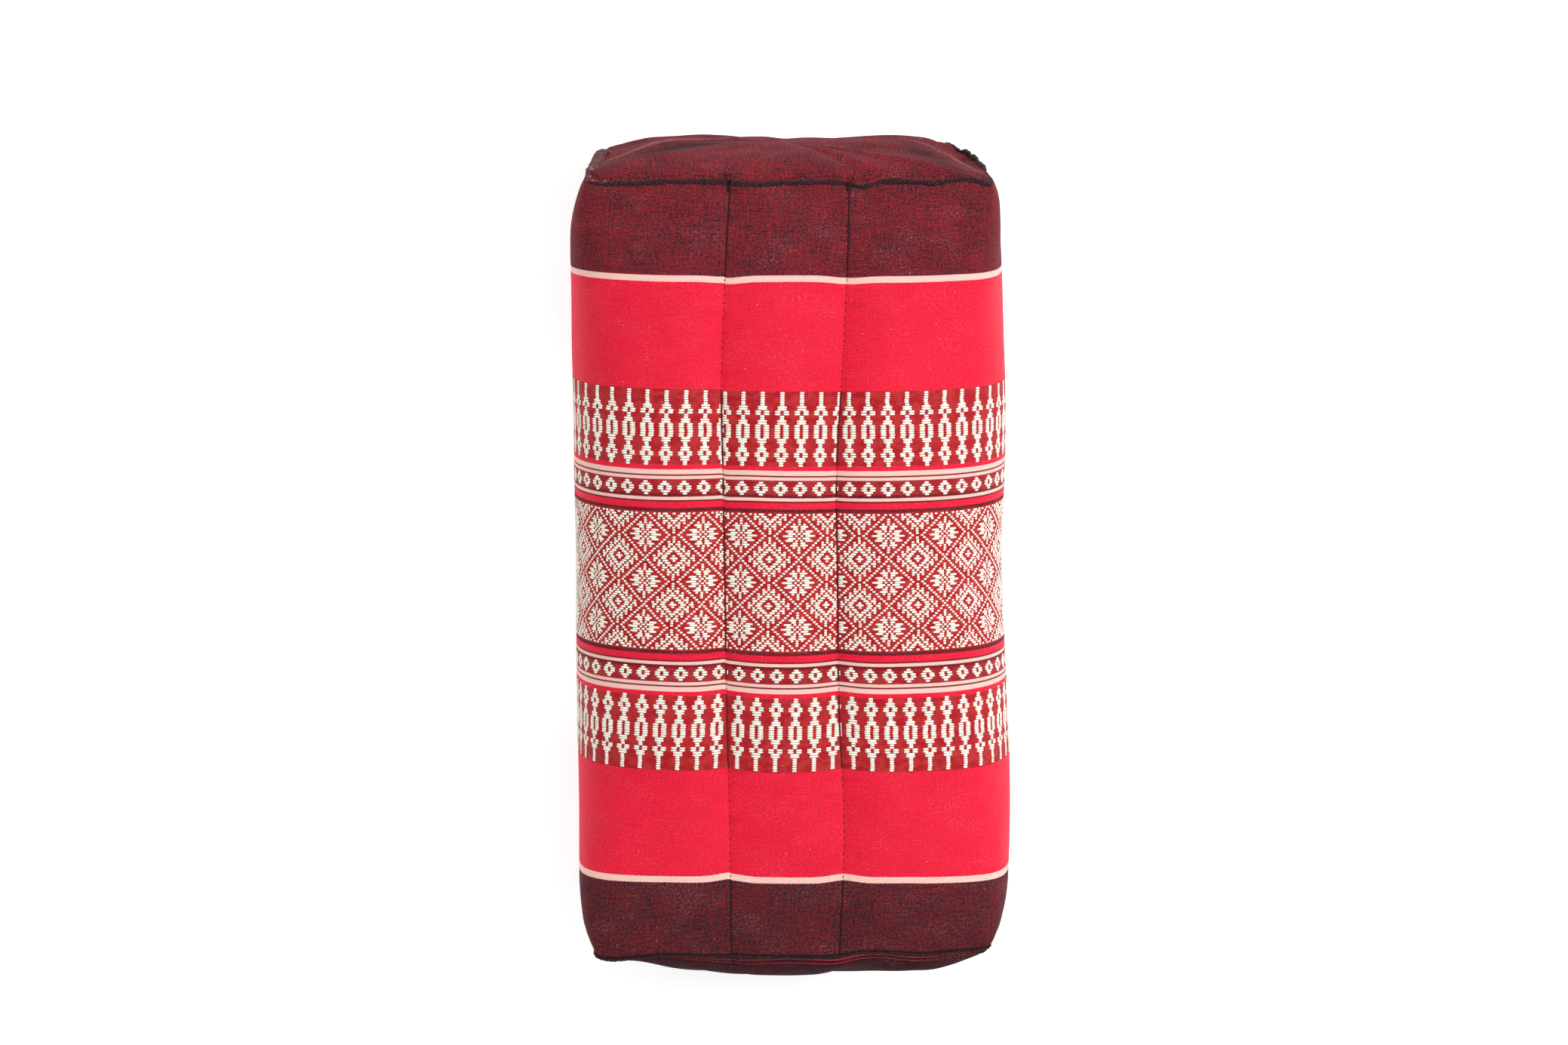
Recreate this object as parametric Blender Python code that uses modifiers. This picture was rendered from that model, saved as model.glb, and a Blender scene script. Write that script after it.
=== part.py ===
"""Hard-stuffed block cushion of band-patterned cloth, lying on its back.

Its face looks up (+Z), its length runs along Y with the head end at +Y, and the right-hand
side of its face is +X. The origin is on the surface, under the middle of the cushion.
Lengths are in millimetres up to the point where a mesh or curve is made.
"""
import math
from collections import namedtuple

import bmesh
import bpy
from mathutils import Vector

MM = 0.001

# Length: the wrap reaches from seam to seam, and each end panel is crowned beyond its seam.
SEAM_AT = 161.0
HEAD_CROWN = 10.6
FOOT_CROWN = 19.0
HEAD_ROUNDING = 2.1
FOOT_ROUNDING = 2.15

# The lengths below are measured from a point this far from the middle of the finished cushion.
ORIGIN = Vector((0.77, -4.2, 0.0))

# Cross-section: the widest point of both sides is at MIDDLE_HEIGHT.
MIDDLE_HEIGHT = 58.0
SQUARE_FRONT_LEFT = 4.4
SQUARE_FRONT_RIGHT = 3.5
SQUARE_BACK = 4.2
SQUARE_AT_SEAM = 10.0
SQUARING_STARTS = 85.0
SQUARING_POWER = 2.2

# Both ends are drawn in where the wrap meets the end panels.
DRAW_LENGTH = 24.0
DRAW_POWER = 1.6
DRAW_SIDES = 5.6
DRAW_FRONT = 5.0
DRAW_BACK = 6.0
PINCH_HEAD = 1.2
PINCH_FOOT = 4.0
PINCH_POWER = 9

# The head end narrows from its front edge to its back edge.
TAPER_HEAD = 0.06
TAPER_STARTS = 60.0
TAPER_POWER = 8

# The sewn lines pull a groove into front and back, deepest halfway along.
GROOVE_FRONT = 6.5
GROOVE_BACK = 5.0
GROOVE_AT_SEAM = 1.5
GROOVE_REACH = 23.0
GROOVE_POWER = 2.2
GROOVE_FADE_POWER = 3

# End panels and their overcast seams.
PANEL_THICKNESS = 1.4
GAP = 0.3
PANEL_INSET = 0.2
PANEL_LIFT = 1.3
BEAD_RADIUS = 1.2
BEAD_OUTWARD = 1.3
BEAD_LIFT = 1.0
BEAD_SIDES = 2
CAP_SCALES = (1.0, 0.97, 0.9, 0.78, 0.6, 0.35)

# Mesh steps: round each outer lobe, across the middle lobe, close beside each sewn line,
# and back from each seam.
OUTER_STEPS = 10
MIDDLE_STEPS = 3
BESIDE_LINE = (2.0, 6.0)
STEPS_FROM_SEAM = (0.0, 1.5, 4.0, 8.0, 13.0, 19.0, 28.0, 40.0, 55.0, 73.0, 93.0, 115.0, 138.0)

Station = namedtuple("Station", "along left right front back")
STATIONS = (
    Station(-161.0, -90.6, 91.8, 117.0, -1.0),
    Station(-110.0, -89.6, 93.4, 118.5, -3.0),
    Station(-60.0, -90.1, 91.0, 119.5, -3.0),
    Station(0.0, -89.9, 88.6, 120.0, -3.0),
    Station(60.0, -91.0, 90.5, 119.5, -3.0),
    Station(110.0, -91.8, 88.6, 118.5, -3.0),
    Station(161.0, -90.8, 87.4, 117.0, -1.0),
)

SewnLines = namedtuple("SewnLines", "along left right")
SEWN_LINES = (
    SewnLines(-161.0, -24.7, 20.4),
    SewnLines(-110.0, -25.2, 22.2),
    SewnLines(-60.0, -26.5, 20.0),
    SewnLines(0.0, -27.3, 19.2),
    SewnLines(40.0, -27.9, 18.8),
    SewnLines(74.0, -28.5, 20.7),
    SewnLines(120.0, -26.9, 22.9),
    SewnLines(161.0, -24.7, 23.9),
)

Section = namedtuple("Section", "left right front back square_left square_right square_back")

# Linear colours of the three cloths and yarns, with their roughness.
WRAP_RED = (0.78, 0.030, 0.066)
SHOT_MAROON = (0.205, 0.026, 0.036)
BLACK_YARN = (0.022, 0.010, 0.012)
CLOTH_ROUGHNESS = 0.85


def smooth_row(rows, along):
    """A table read between its rows, on a smooth curve through them."""
    last = len(rows) - 1
    index = next((i for i in range(1, last) if along < rows[i].along), last)
    before, after = rows[index - 1], rows[index]
    outer_before, outer_after = rows[max(index - 2, 0)], rows[min(index + 1, last)]
    span = after.along - before.along
    t = (along - before.along) / span
    values = [along]
    for column in range(1, len(before)):
        slope_before = (after[column] - outer_before[column]) / (after.along - outer_before.along)
        slope_after = (outer_after[column] - before[column]) / (outer_after.along - before.along)
        values.append(
            before[column] * (1 + 2 * t) * (1 - t) ** 2
            + after[column] * t * t * (3 - 2 * t)
            + span * (slope_before * t * (1 - t) ** 2 - slope_after * t * t * (1 - t))
        )
    return type(before)(*values)


def rise(value, start, end):
    """0 up to start, 1 from end on, in a straight line between."""
    return min(max((value - start) / (end - start), 0.0), 1.0)


def section_at(along):
    station = smooth_row(STATIONS, along)
    near_seam = rise(abs(along), SEAM_AT - DRAW_LENGTH, SEAM_AT)
    drawn = near_seam ** DRAW_POWER
    pinch = (PINCH_HEAD if along > 0 else PINCH_FOOT) * near_seam ** PINCH_POWER
    squared = rise(abs(along), SQUARING_STARTS, SEAM_AT) ** SQUARING_POWER
    return Section(
        left=station.left + DRAW_SIDES * drawn + pinch,
        right=station.right - DRAW_SIDES * drawn - pinch,
        front=station.front - DRAW_FRONT * drawn,
        back=station.back + DRAW_BACK * drawn,
        square_left=SQUARE_FRONT_LEFT + (SQUARE_AT_SEAM - SQUARE_FRONT_LEFT) * squared,
        square_right=SQUARE_FRONT_RIGHT + (SQUARE_AT_SEAM - SQUARE_FRONT_RIGHT) * squared,
        square_back=SQUARE_BACK + (SQUARE_AT_SEAM - SQUARE_BACK) * squared,
    )


def quarter(section, is_left, is_back):
    """Half-width, height from the middle and squareness of one quarter of a section."""
    middle = (section.left + section.right) / 2
    half_width = (section.right - section.left) / 2
    if is_back:
        return middle, half_width, section.back - MIDDLE_HEIGHT, section.square_back
    square = section.square_left if is_left else section.square_right
    return middle, half_width, section.front - MIDDLE_HEIGHT, square


def point_at_angle(section, angle):
    """A point of the rounded section; 0 is the right side and a quarter turn is the front."""
    is_left, is_back = math.cos(angle) < 0, math.sin(angle) < 0
    middle, half_width, height, square = quarter(section, is_left, is_back)
    x = half_width * abs(math.cos(angle)) ** (2 / square)
    z = height * abs(math.sin(angle)) ** (2 / square)
    return middle + (-x if is_left else x), MIDDLE_HEIGHT + z


def point_at_x(section, x, is_back):
    middle, half_width, height, square = quarter(section, x < 0, is_back)
    share = abs(x - middle) / half_width
    return x, MIDDLE_HEIGHT + height * (1 - share ** square) ** (1 / square)


def angle_of_x(section, x, is_back):
    middle, half_width, _, square = quarter(section, x < 0, is_back)
    cosine = math.copysign((abs(x - middle) / half_width) ** (square / 2), x - middle)
    angle = math.acos(cosine)
    return 2 * math.pi - angle if is_back else angle


def steps(first, last, count):
    """Even steps from first up to, but without, last."""
    return [first + (last - first) * i / count for i in range(count)]


def section_outline(section, lines):
    """The plain outline, counter-clockwise from the right side, with a point on each line."""
    close, clear = BESIDE_LINE
    outline = []
    for is_back, near, far in ((False, lines.right, lines.left), (True, lines.left, lines.right)):
        start, end = (math.pi, 2 * math.pi) if is_back else (0.0, math.pi)
        inward = math.copysign(1.0, far - near)
        outer_near = angle_of_x(section, near - inward * clear, is_back)
        outer_far = angle_of_x(section, far + inward * clear, is_back)
        across = [near - inward * close, near, near + inward * close]
        across += steps(near + inward * clear, far - inward * clear, MIDDLE_STEPS)
        across += [far - inward * clear, far - inward * close, far, far + inward * close]
        outline += [(point_at_angle(section, a), is_back) for a in steps(start, outer_near, OUTER_STEPS)]
        outline.append((point_at_angle(section, outer_near), is_back))
        outline += [(point_at_x(section, x, is_back), is_back) for x in across]
        outline += [(point_at_angle(section, a), is_back) for a in steps(outer_far, end, OUTER_STEPS)]
    return outline


def groove(x, lines, along, is_back):
    """How deep the nearest sewn line pulls the cloth in at x."""
    distance = min(abs(x - lines.left), abs(x - lines.right))
    deepest = GROOVE_BACK if is_back else GROOVE_FRONT
    toward_seam = rise(abs(along), 0.0, SEAM_AT) ** GROOVE_FADE_POWER
    depth = deepest + (GROOVE_AT_SEAM - deepest) * toward_seam
    return depth * max(0.0, 1 - distance / GROOVE_REACH) ** GROOVE_POWER


def head_taper(along, z):
    """How much narrower the cushion is at this height than at its front edge."""
    lean = rise(along, TAPER_STARTS, SEAM_AT) ** TAPER_POWER
    return 1 - TAPER_HEAD * lean * (1 - z / (2 * MIDDLE_HEIGHT))


def wrap_ring(along):
    """One loop of the wrap, grooved at the sewn lines and flat where it rests."""
    section = section_at(along)
    lines = smooth_row(SEWN_LINES, along)
    ring = []
    for (x, z), is_back in section_outline(section, lines):
        pull = groove(x, lines, along, is_back)
        z = z + pull if is_back else z - pull
        z = max(z, 0.0)
        ring.append(Vector((x * head_taper(along, z), along, z)))
    return ring


def ring_middle(ring):
    return sum(ring, Vector()) / len(ring)


def outward(ring, index):
    """The ring's outward direction at one of its points, in the plane of X and Z."""
    along_ring = ring[(index + 1) % len(ring)] - ring[index - 1]
    return Vector((along_ring.z, 0.0, -along_ring.x)).normalized()


def crowned_rings(end):
    """The outer face of an end panel: rings from its rim inwards, and its middle point."""
    crown = (HEAD_CROWN if end > 0 else FOOT_CROWN) - PANEL_LIFT
    rounding = HEAD_ROUNDING if end > 0 else FOOT_ROUNDING
    seam = wrap_ring(end * SEAM_AT)
    rim = [point - outward(seam, i) * PANEL_INSET for i, point in enumerate(seam)]
    middle = ring_middle(rim)
    rings = []
    for scale in CAP_SCALES + (0.0,):
        lift = end * (PANEL_LIFT + crown * (1 - scale ** rounding) ** (1 / rounding))
        rings.append([middle.lerp(point, scale) + Vector((0.0, lift, 0.0)) for point in rim])
    return rings[:-1], rings[-1][0]


def sunk_rings(rings, tip, distance, end):
    """The same crowned rings, moved into the cushion along their normals."""
    sunk = []
    for i, ring in enumerate(rings):
        before, after = rings[max(i - 1, 0)], rings[min(i + 1, len(rings) - 1)]
        moved = []
        for j, point in enumerate(ring):
            around = ring[(j + 1) % len(ring)] - ring[j - 1]
            normal = around.cross(before[j] - after[j]).normalized() * end
            moved.append(point - normal * distance)
        sunk.append(moved)
    return sunk, tip - Vector((0.0, end * distance, 0.0))


def bridge(bm, lower, upper):
    """Faces between two rings of points, all the way round."""
    count = len(lower)
    for i in range(count):
        bm.faces.new((lower[i], upper[i], upper[(i + 1) % count], lower[(i + 1) % count]))


def fan(bm, ring, tip):
    for i, point in enumerate(ring):
        bm.faces.new((point, tip, ring[(i + 1) % len(ring)]))


def loft(rings, tips):
    """A skin over rings of points, closed by a fan at each tip that is given."""
    bm = bmesh.new()
    loops = [[bm.verts.new((point - ORIGIN) * MM) for point in ring] for ring in rings]
    for lower, upper in zip(loops, loops[1:]):
        bridge(bm, lower, upper)
    for loop, tip in zip((loops[0], loops[-1]), tips):
        if tip is not None:
            fan(bm, loop, bm.verts.new((tip - ORIGIN) * MM))
    bmesh.ops.recalc_face_normals(bm, faces=bm.faces)
    return bm


def new_material(name, colour):
    material = bpy.data.materials.new(name)
    material.use_nodes = True
    shader = material.node_tree.nodes["Principled BSDF"]
    shader.inputs["Base Color"].default_value = (*colour, 1.0)
    shader.inputs["Roughness"].default_value = CLOTH_ROUGHNESS
    shader.inputs["Metallic"].default_value = 0.0
    return material


def add_object(name, data, material, collection):
    data.materials.append(material)
    part = bpy.data.objects.new(name, data)
    collection.objects.link(part)
    return part


def mesh_from(bm, name):
    mesh = bpy.data.meshes.new(name)
    bm.to_mesh(mesh)
    bm.free()
    mesh.shade_smooth()
    return mesh


def make_body(material, collection):
    """Wrap and filling as one solid, with crowned ends under the end panels."""
    from_head = [SEAM_AT - step for step in STEPS_FROM_SEAM]
    stations = [-along for along in from_head] + [0.0] + from_head[::-1]
    wrap = [wrap_ring(along) for along in stations]
    under_panel = PANEL_THICKNESS + GAP
    foot, foot_tip = sunk_rings(*crowned_rings(-1), under_panel, -1)
    head, head_tip = sunk_rings(*crowned_rings(1), under_panel, 1)
    for rings, end in ((foot, -1), (head, 1)):
        rings[0] = [point - Vector((0.0, end * GAP, 0.0)) for point in rings[0]]
    skin = loft(foot[::-1] + wrap + head, (foot_tip, head_tip))
    return add_object("filled_body", mesh_from(skin, "filled_body"), material, collection)


def make_end_panel(name, end, material, collection):
    """A crowned sheet over one end, thickened inwards."""
    rings, tip = crowned_rings(end)
    sheet = loft(rings[::-1], (tip, None))
    panel = add_object(name, mesh_from(sheet, name), material, collection)
    if panel.data.polygons[0].normal.y * end < 0:
        panel.data.flip_normals()
    shell = panel.modifiers.new("cloth", "SOLIDIFY")
    shell.thickness = PANEL_THICKNESS * MM
    shell.offset = -1.0
    return panel


def make_end_seam(name, end, material, collection):
    """The ridge of overcast yarn that runs round one end."""
    seam = wrap_ring(end * SEAM_AT)
    curve = bpy.data.curves.new(name, "CURVE")
    curve.dimensions = "3D"
    curve.bevel_depth = BEAD_RADIUS * MM
    curve.bevel_resolution = BEAD_SIDES
    route = curve.splines.new("POLY")
    route.points.add(len(seam) - 1)
    for i, point in enumerate(seam):
        place = point + outward(seam, i) * BEAD_OUTWARD + Vector((0.0, end * BEAD_LIFT, 0.0))
        route.points[i].co = (*((place - ORIGIN) * MM), 1.0)
    route.use_cyclic_u = True
    return add_object(name, curve, material, collection)


def main():
    for old in list(bpy.data.objects):
        bpy.data.objects.remove(old, do_unlink=True)
    cushion = bpy.data.collections.new("block_cushion")
    bpy.context.scene.collection.children.link(cushion)
    wrap_cloth = new_material("patterned_cloth", WRAP_RED)
    end_cloth = new_material("end_cloth", SHOT_MAROON)
    seam_yarn = new_material("seam_yarn", BLACK_YARN)
    make_body(wrap_cloth, cushion)
    for end_name, end in (("head", 1), ("foot", -1)):
        make_end_panel(f"{end_name}_end_panel", end, end_cloth, cushion)
        make_end_seam(f"{end_name}_end_seam", end, seam_yarn, cushion)


main()
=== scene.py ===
"""Looks of the block cushion: stuffed cloth, woven bands, raised cream floats, stitches and seams.

It lies on its back with its face up (+Z), its length along Y and its head end at +Y.
Lengths are in millimetres up to the point where a mesh is made, and they are measured from the
middle between the two end seams, as in the part's source.
"""

import math
from collections import namedtuple

import bpy
import numpy as np
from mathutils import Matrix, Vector


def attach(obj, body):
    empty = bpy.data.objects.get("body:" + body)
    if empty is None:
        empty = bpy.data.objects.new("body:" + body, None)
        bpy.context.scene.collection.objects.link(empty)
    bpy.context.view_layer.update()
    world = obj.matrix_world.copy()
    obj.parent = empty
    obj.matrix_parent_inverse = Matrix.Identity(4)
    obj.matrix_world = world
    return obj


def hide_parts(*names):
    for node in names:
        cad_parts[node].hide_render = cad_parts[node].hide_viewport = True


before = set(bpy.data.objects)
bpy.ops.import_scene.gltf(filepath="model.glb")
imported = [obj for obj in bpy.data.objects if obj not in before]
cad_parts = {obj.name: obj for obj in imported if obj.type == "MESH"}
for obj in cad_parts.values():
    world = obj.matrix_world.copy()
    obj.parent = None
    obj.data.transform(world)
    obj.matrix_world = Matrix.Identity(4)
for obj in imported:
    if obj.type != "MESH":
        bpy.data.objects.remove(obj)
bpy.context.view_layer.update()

MM = 0.001
TINY = 1e-9


def table(columns, *rows):
    """A short table; the first column of those that are read on a curve is the place."""
    kind = namedtuple("Row", columns)
    return tuple(kind(*row) for row in rows)


# The form, with nearly the same values as the part's source. Here the left flank is a little
# rounder, the grooves on the face are deeper, and both crowns differ by less than a millimetre.
SEAM_AT = 161.0
HEAD_CROWN = 11.3
FOOT_CROWN = 18.3
HEAD_ROUNDING = 2.1
FOOT_ROUNDING = 2.15
ORIGIN = np.array((0.77, -4.2, 0.0))
MIDDLE_HEIGHT = 58.0
SQUARE_FRONT_LEFT = 3.7
SQUARE_FRONT_RIGHT = 3.5
SQUARE_BACK = 4.2
SQUARE_AT_SEAM = 10.0
SQUARING_STARTS = 85.0
SQUARING_POWER = 2.2
DRAW_LENGTH = 24.0
DRAW_POWER = 1.6
DRAW_SIDES = 5.6
DRAW_FRONT = 5.0
DRAW_BACK = 6.0
PINCH_HEAD = 1.2
PINCH_FOOT = 4.0
PINCH_POWER = 9
TAPER_HEAD = 0.06
TAPER_STARTS = 60.0
TAPER_POWER = 8
GROOVE_FRONT = 7.3
GROOVE_BACK = 5.0
GROOVE_AT_SEAM = 1.5
GROOVE_REACH = 23.0
GROOVE_POWER = 2.2
GROOVE_FADE_POWER = 3
PANEL_INSET = 0.2
PANEL_LIFT = 1.3

STATIONS = table(
    "along left right front back",
    (-161.0, -90.6, 91.8, 117.0, -1.0),
    (-110.0, -89.6, 93.4, 118.5, -3.0),
    (-60.0, -90.1, 91.0, 119.5, -3.0),
    (0.0, -89.9, 88.6, 120.0, -3.0),
    (60.0, -91.0, 90.5, 119.5, -3.0),
    (110.0, -91.8, 88.6, 118.5, -3.0),
    (161.0, -90.8, 87.4, 117.0, -1.0),
)

SEWN_LINES = table(
    "along left right",
    (-161.0, -24.7, 20.4),
    (-110.0, -25.2, 22.2),
    (-60.0, -26.5, 20.0),
    (0.0, -27.3, 19.2),
    (40.0, -27.9, 18.8),
    (74.0, -28.5, 20.7),
    (120.0, -26.9, 22.9),
    (161.0, -24.7, 23.9),
)

# The wrap's mesh: six stretches go round it, from the right side over the front. Columns lie
# close together beside the sewn lines, and three rows make one stitch.
RIGHT_SIDE, LINE_RIGHT, LINE_LEFT, LEFT_SIDE, BACK_LEFT, BACK_RIGHT, FULL_ROUND = range(7)
STRETCH_OUTER = 115.0
STRETCH_MIDDLE = 48.0
CLOSE_COLUMNS = (0.0, 0.45, 1.0, 1.7, 2.6, 3.8, 5.4)
CLOSE_ROWS = (0.0, 0.5, 1.2, 2.1)
STEP_FACE = 1.7
STEP_BACK = 3.0
STITCH = 3.15
STEP_ALONG = STITCH / 3
OUTLINE_POINTS = 1441

# Stuffing by cloth simulation, on a coarse copy of the wrap. The cloth is slackened first, less
# beside the sewn lines, by a share of a stretch, and beside the seams.
COARSE_COLUMNS = (0.0, 5.0)
COARSE_STEP = 5.5
SLACK = 1.6
EASE_AT_LINE = 0.25
EASE_AT_SEAM = 20.0
FRAMES = 20
SWELL_LIMIT = 2.6
PASSES_ROUND, PASSES_ALONG = 3, 5
RESTS_BELOW = 2.0
SIMULATION = {
    "quality": 6,
    "mass": 0.4,
    "tension_stiffness": 25,
    "compression_stiffness": 12,
    "shear_stiffness": 6,
    "bending_stiffness": 0.6,
    "air_damping": 4,
    "use_pressure": True,
    "uniform_pressure_force": 2.2,
}

# Unevenness made of seeded waves: its height, the waves' length each way, and its seed.
WAVE_COUNT = 14
WAVE_PACE = (0.6, 1.5)
Waves = namedtuple("Waves", "height length_u length_v seed")
UNEVEN = {
    "beside_lines": Waves(0.16, 30.0, 7.0, 11),
    "beside_seams": Waves(0.30, 11.0, 60.0, 12),
    "lobes": Waves(0.16, 45.0, 60.0, 13),
    "seam_course": Waves(0.7, 40.0, 35.0, 17),
    "bands": Waves(0.2, 70.0, 90.0, 21),
    "foot_panel": Waves(0.4, 62.0, 36.0, 31),
    "head_panel": Waves(0.4, 62.0, 36.0, 32),
    "panel_edge": Waves(0.14, 13.0, 90.0, 33),
    "fold_height": Waves(0.3, 34.0, 34.0, 35),
    "fold_place": Waves(0.5, 48.0, 60.0, 36),
    "winding": Waves(0.8, 9.0, 9.0, 41),
    "yarn_fine": Waves(1.0, 3.1, 2.6, 42),
    "yarn_broad": Waves(1.0, 11.0, 11.0, 43),
    "tail": Waves(0.2, 1.6, 3.0, 61),
}

# Puckers at the stitches, deeper where the thread dives, and how far the small creases beside
# lines and seams reach. All of it fades out below this height, where the cushion rests.
PUCKER_DEPTH, PUCKER_WIDTH, PUCKER_EVEN = 0.28, 1.5, 0.6
CREASES_BY_LINE, CREASES_BY_SEAM = 9.0, 10.0
CREASES_START = (0.0, 3.0)
RELIEF_ABOVE = 6.0

# Beside the foot seam the shade painted in its crease reaches further than beside a sewn line: only this
# share of the distance counts there.
FOOT_CREASE = 0.38

# The cloth on the form: rows of weft are counted from the middle of the lattice band, and
# columns of warp from the middle spire. Sewn lines pull the bands toward the middle.
PITCH = 0.975
UNIT = 8.08 / 16
LATTICE_CENTRE = -5.85
LINE_PULL = 0.009
LINE_PULL_REACH = 8.0
LEFT_LINE_STEP = 0.6
LEFT_LINE_WIDTH = 0.8

# About one spire's width of cloth is hidden in each sewn line of the face.
THREADS = table(
    "along middle_spire hidden_left hidden_right",
    (-81.0, -6.5, 6.4, 6.6),
    (70.0, -3.5, 7.3, 11.6),
)

# Bands of the cloth, each up to its distance from the lattice's middle.
BANDS = table(
    "until kind",
    (28.8, "ground"), (30.5, "dark"), (32.9, "red"), (33.75, "maroon"), (34.85, "cream"),
    (36.0, "maroon"), (42.0, "dark_ground"), (42.35, "maroon"), (43.4, "cream"), (44.35, "maroon"),
    (46.3, "cream"), (48.4, "red"), (79.4, "ground"), (124.0, "red"), (126.25, "cream"),
    (170.0, "shot"),
)
LAST_BAND = BANDS[-1].until

# Linear colours.
COLOURS = {
    "red": (0.77, 0.009, 0.038),
    "dark": (0.13, 0.010, 0.018),
    "maroon": (0.16, 0.004, 0.008),
    "ground": (0.43, 0.005, 0.006),
    "dark_ground": (0.33, 0.006, 0.008),
    "cream": (0.92, 0.89, 0.78),
    "shot": (0.15, 0.014, 0.020),
}
SHOT_WARP = (0.31, 0.013, 0.022)
SHOT_WEFT = (0.016, 0.009, 0.012)
# Lint colours; each also carries the glint painted as a highlight.
DUST_AND_GLINT = (0.60, 0.34, 0.38)
WHITE = (1.0, 1.0, 1.0)
PINK_LINT_AND_GLINT = (0.95, 0.26, 0.30)
PINK_DOT = (0.84, 0.24, 0.22)
FLUFF = (0.85, 0.55, 0.52)
# Painted shade in the creases of sewn lines and panel folds, and highlights painted on panel folds and the
# head panel's ridge.
LINE_SHADE = (0.010, 0.006, 0.008)
PANEL_SHADE = (0.012, 0.007, 0.009)
HIGHLIGHT_GREY = (0.34, 0.25, 0.27)
HIGHLIGHT_RED = (0.36, 0.03, 0.045)
FLOAT_CREAM = (0.90, 0.98, 0.86)
FLOAT_SHADE = (0.62, 0.50, 0.38)
YARN_BLACK = (0.016, 0.008, 0.010)
YARN_FUZZ = (0.075, 0.030, 0.034)
# Bare cloth of the seams, and a highlight painted on it.
BARE_CLOTH = (0.11, 0.016, 0.022)
BARE_CLOTH_HIGHLIGHT = (0.20, 0.12, 0.13)


def table_column(rows, name, place):
    """One column of a table, read at each place on a smooth curve through its rows."""
    places = np.array([row[0] for row in rows])
    values = np.array([getattr(row, name) for row in rows])
    slopes = np.gradient(values, places)
    slopes[1:-1] = (values[2:] - values[:-2]) / (places[2:] - places[:-2])
    index = np.clip(np.searchsorted(places, place) - 1, 0, len(rows) - 2)
    span = places[index + 1] - places[index]
    t = (place - places[index]) / span
    bend = slopes[index] * t * (1 - t) ** 2 - slopes[index + 1] * t * t * (1 - t)
    return values[index] * (1 + 2 * t) * (1 - t) ** 2 + values[index + 1] * t * t * (3 - 2 * t) + span * bend


def table_row(rows, place):
    """A whole row of a table, read at one place in the same way."""
    return type(rows[0])(place, *(float(table_column(rows, n, place)) for n in rows[0]._fields[1:]))


def rise(value, start, end):
    """0 up to start, 1 from end on, in a straight line between."""
    return np.clip((value - start) / (end - start), 0.0, 1.0)


def bell(away, width):
    """1 where away is 0, and less and less on both sides of it."""
    return np.exp(-(away / width) ** 2)


def plane_run(x, y):
    """How far each point lies along a line in a plane."""
    return np.concatenate([[0.0], np.cumsum(np.hypot(np.diff(x), np.diff(y)))])


def unit(ways):
    """The same directions, each one long."""
    return ways / np.linalg.norm(ways, axis=-1, keepdims=True)


def columns_at(places, run, values):
    """Every column of values, read at these places along their run."""
    return np.stack([np.interp(places, run, column) for column in values.T], axis=-1)


def run_along(points, axis=0):
    """How far each point lies along its line of points."""
    steps = np.diff(points, axis=axis, prepend=np.take(points, [0], axis=axis))
    return np.cumsum(np.linalg.norm(steps, axis=-1), axis=axis)


def uneven(name, u, v):
    """Smooth seeded noise of one kind: a sum of waves that lean every way."""
    kind = UNEVEN[name]
    random = np.random.default_rng(kind.seed)
    total = np.zeros(np.broadcast(u, v).shape)
    for _ in range(WAVE_COUNT):
        turn = random.uniform(0, 2 * math.pi)
        pace = random.uniform(*WAVE_PACE)
        phase = random.uniform(0, 2 * math.pi)
        place = u * math.cos(turn) / kind.length_u + v * math.sin(turn) / kind.length_v
        total += np.sin(pace * place * 2 * math.pi + phase)
    return kind.height * (total / math.sqrt(WAVE_COUNT))


def outline_at(along, directions):
    """The plain outline of the wrap at one place along, seen from its middle in these directions."""
    station = table_row(STATIONS, along)
    near_seam = rise(abs(along), SEAM_AT - DRAW_LENGTH, SEAM_AT)
    drawn = near_seam ** DRAW_POWER
    pinch = (PINCH_HEAD if along > 0 else PINCH_FOOT) * near_seam ** PINCH_POWER
    squared = rise(abs(along), SQUARING_STARTS, SEAM_AT) ** SQUARING_POWER
    left = station.left + DRAW_SIDES * drawn + pinch
    right = station.right - DRAW_SIDES * drawn - pinch
    up = station.front - DRAW_FRONT * drawn - MIDDLE_HEIGHT
    down = MIDDLE_HEIGHT - station.back - DRAW_BACK * drawn
    cosine, sine = np.cos(directions), np.sin(directions)
    in_front = np.where(cosine < 0, SQUARE_FRONT_LEFT, SQUARE_FRONT_RIGHT)
    square = np.where(sine < 0, SQUARE_BACK, in_front)
    square = square + (SQUARE_AT_SEAM - square) * squared
    height = np.where(sine < 0, down, up)
    half_width = (right - left) / 2
    reach = (np.abs(cosine / half_width) ** square + np.abs(sine / height) ** square) ** (-1 / square)
    return (left + right) / 2 + reach * cosine, MIDDLE_HEIGHT + reach * sine


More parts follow.
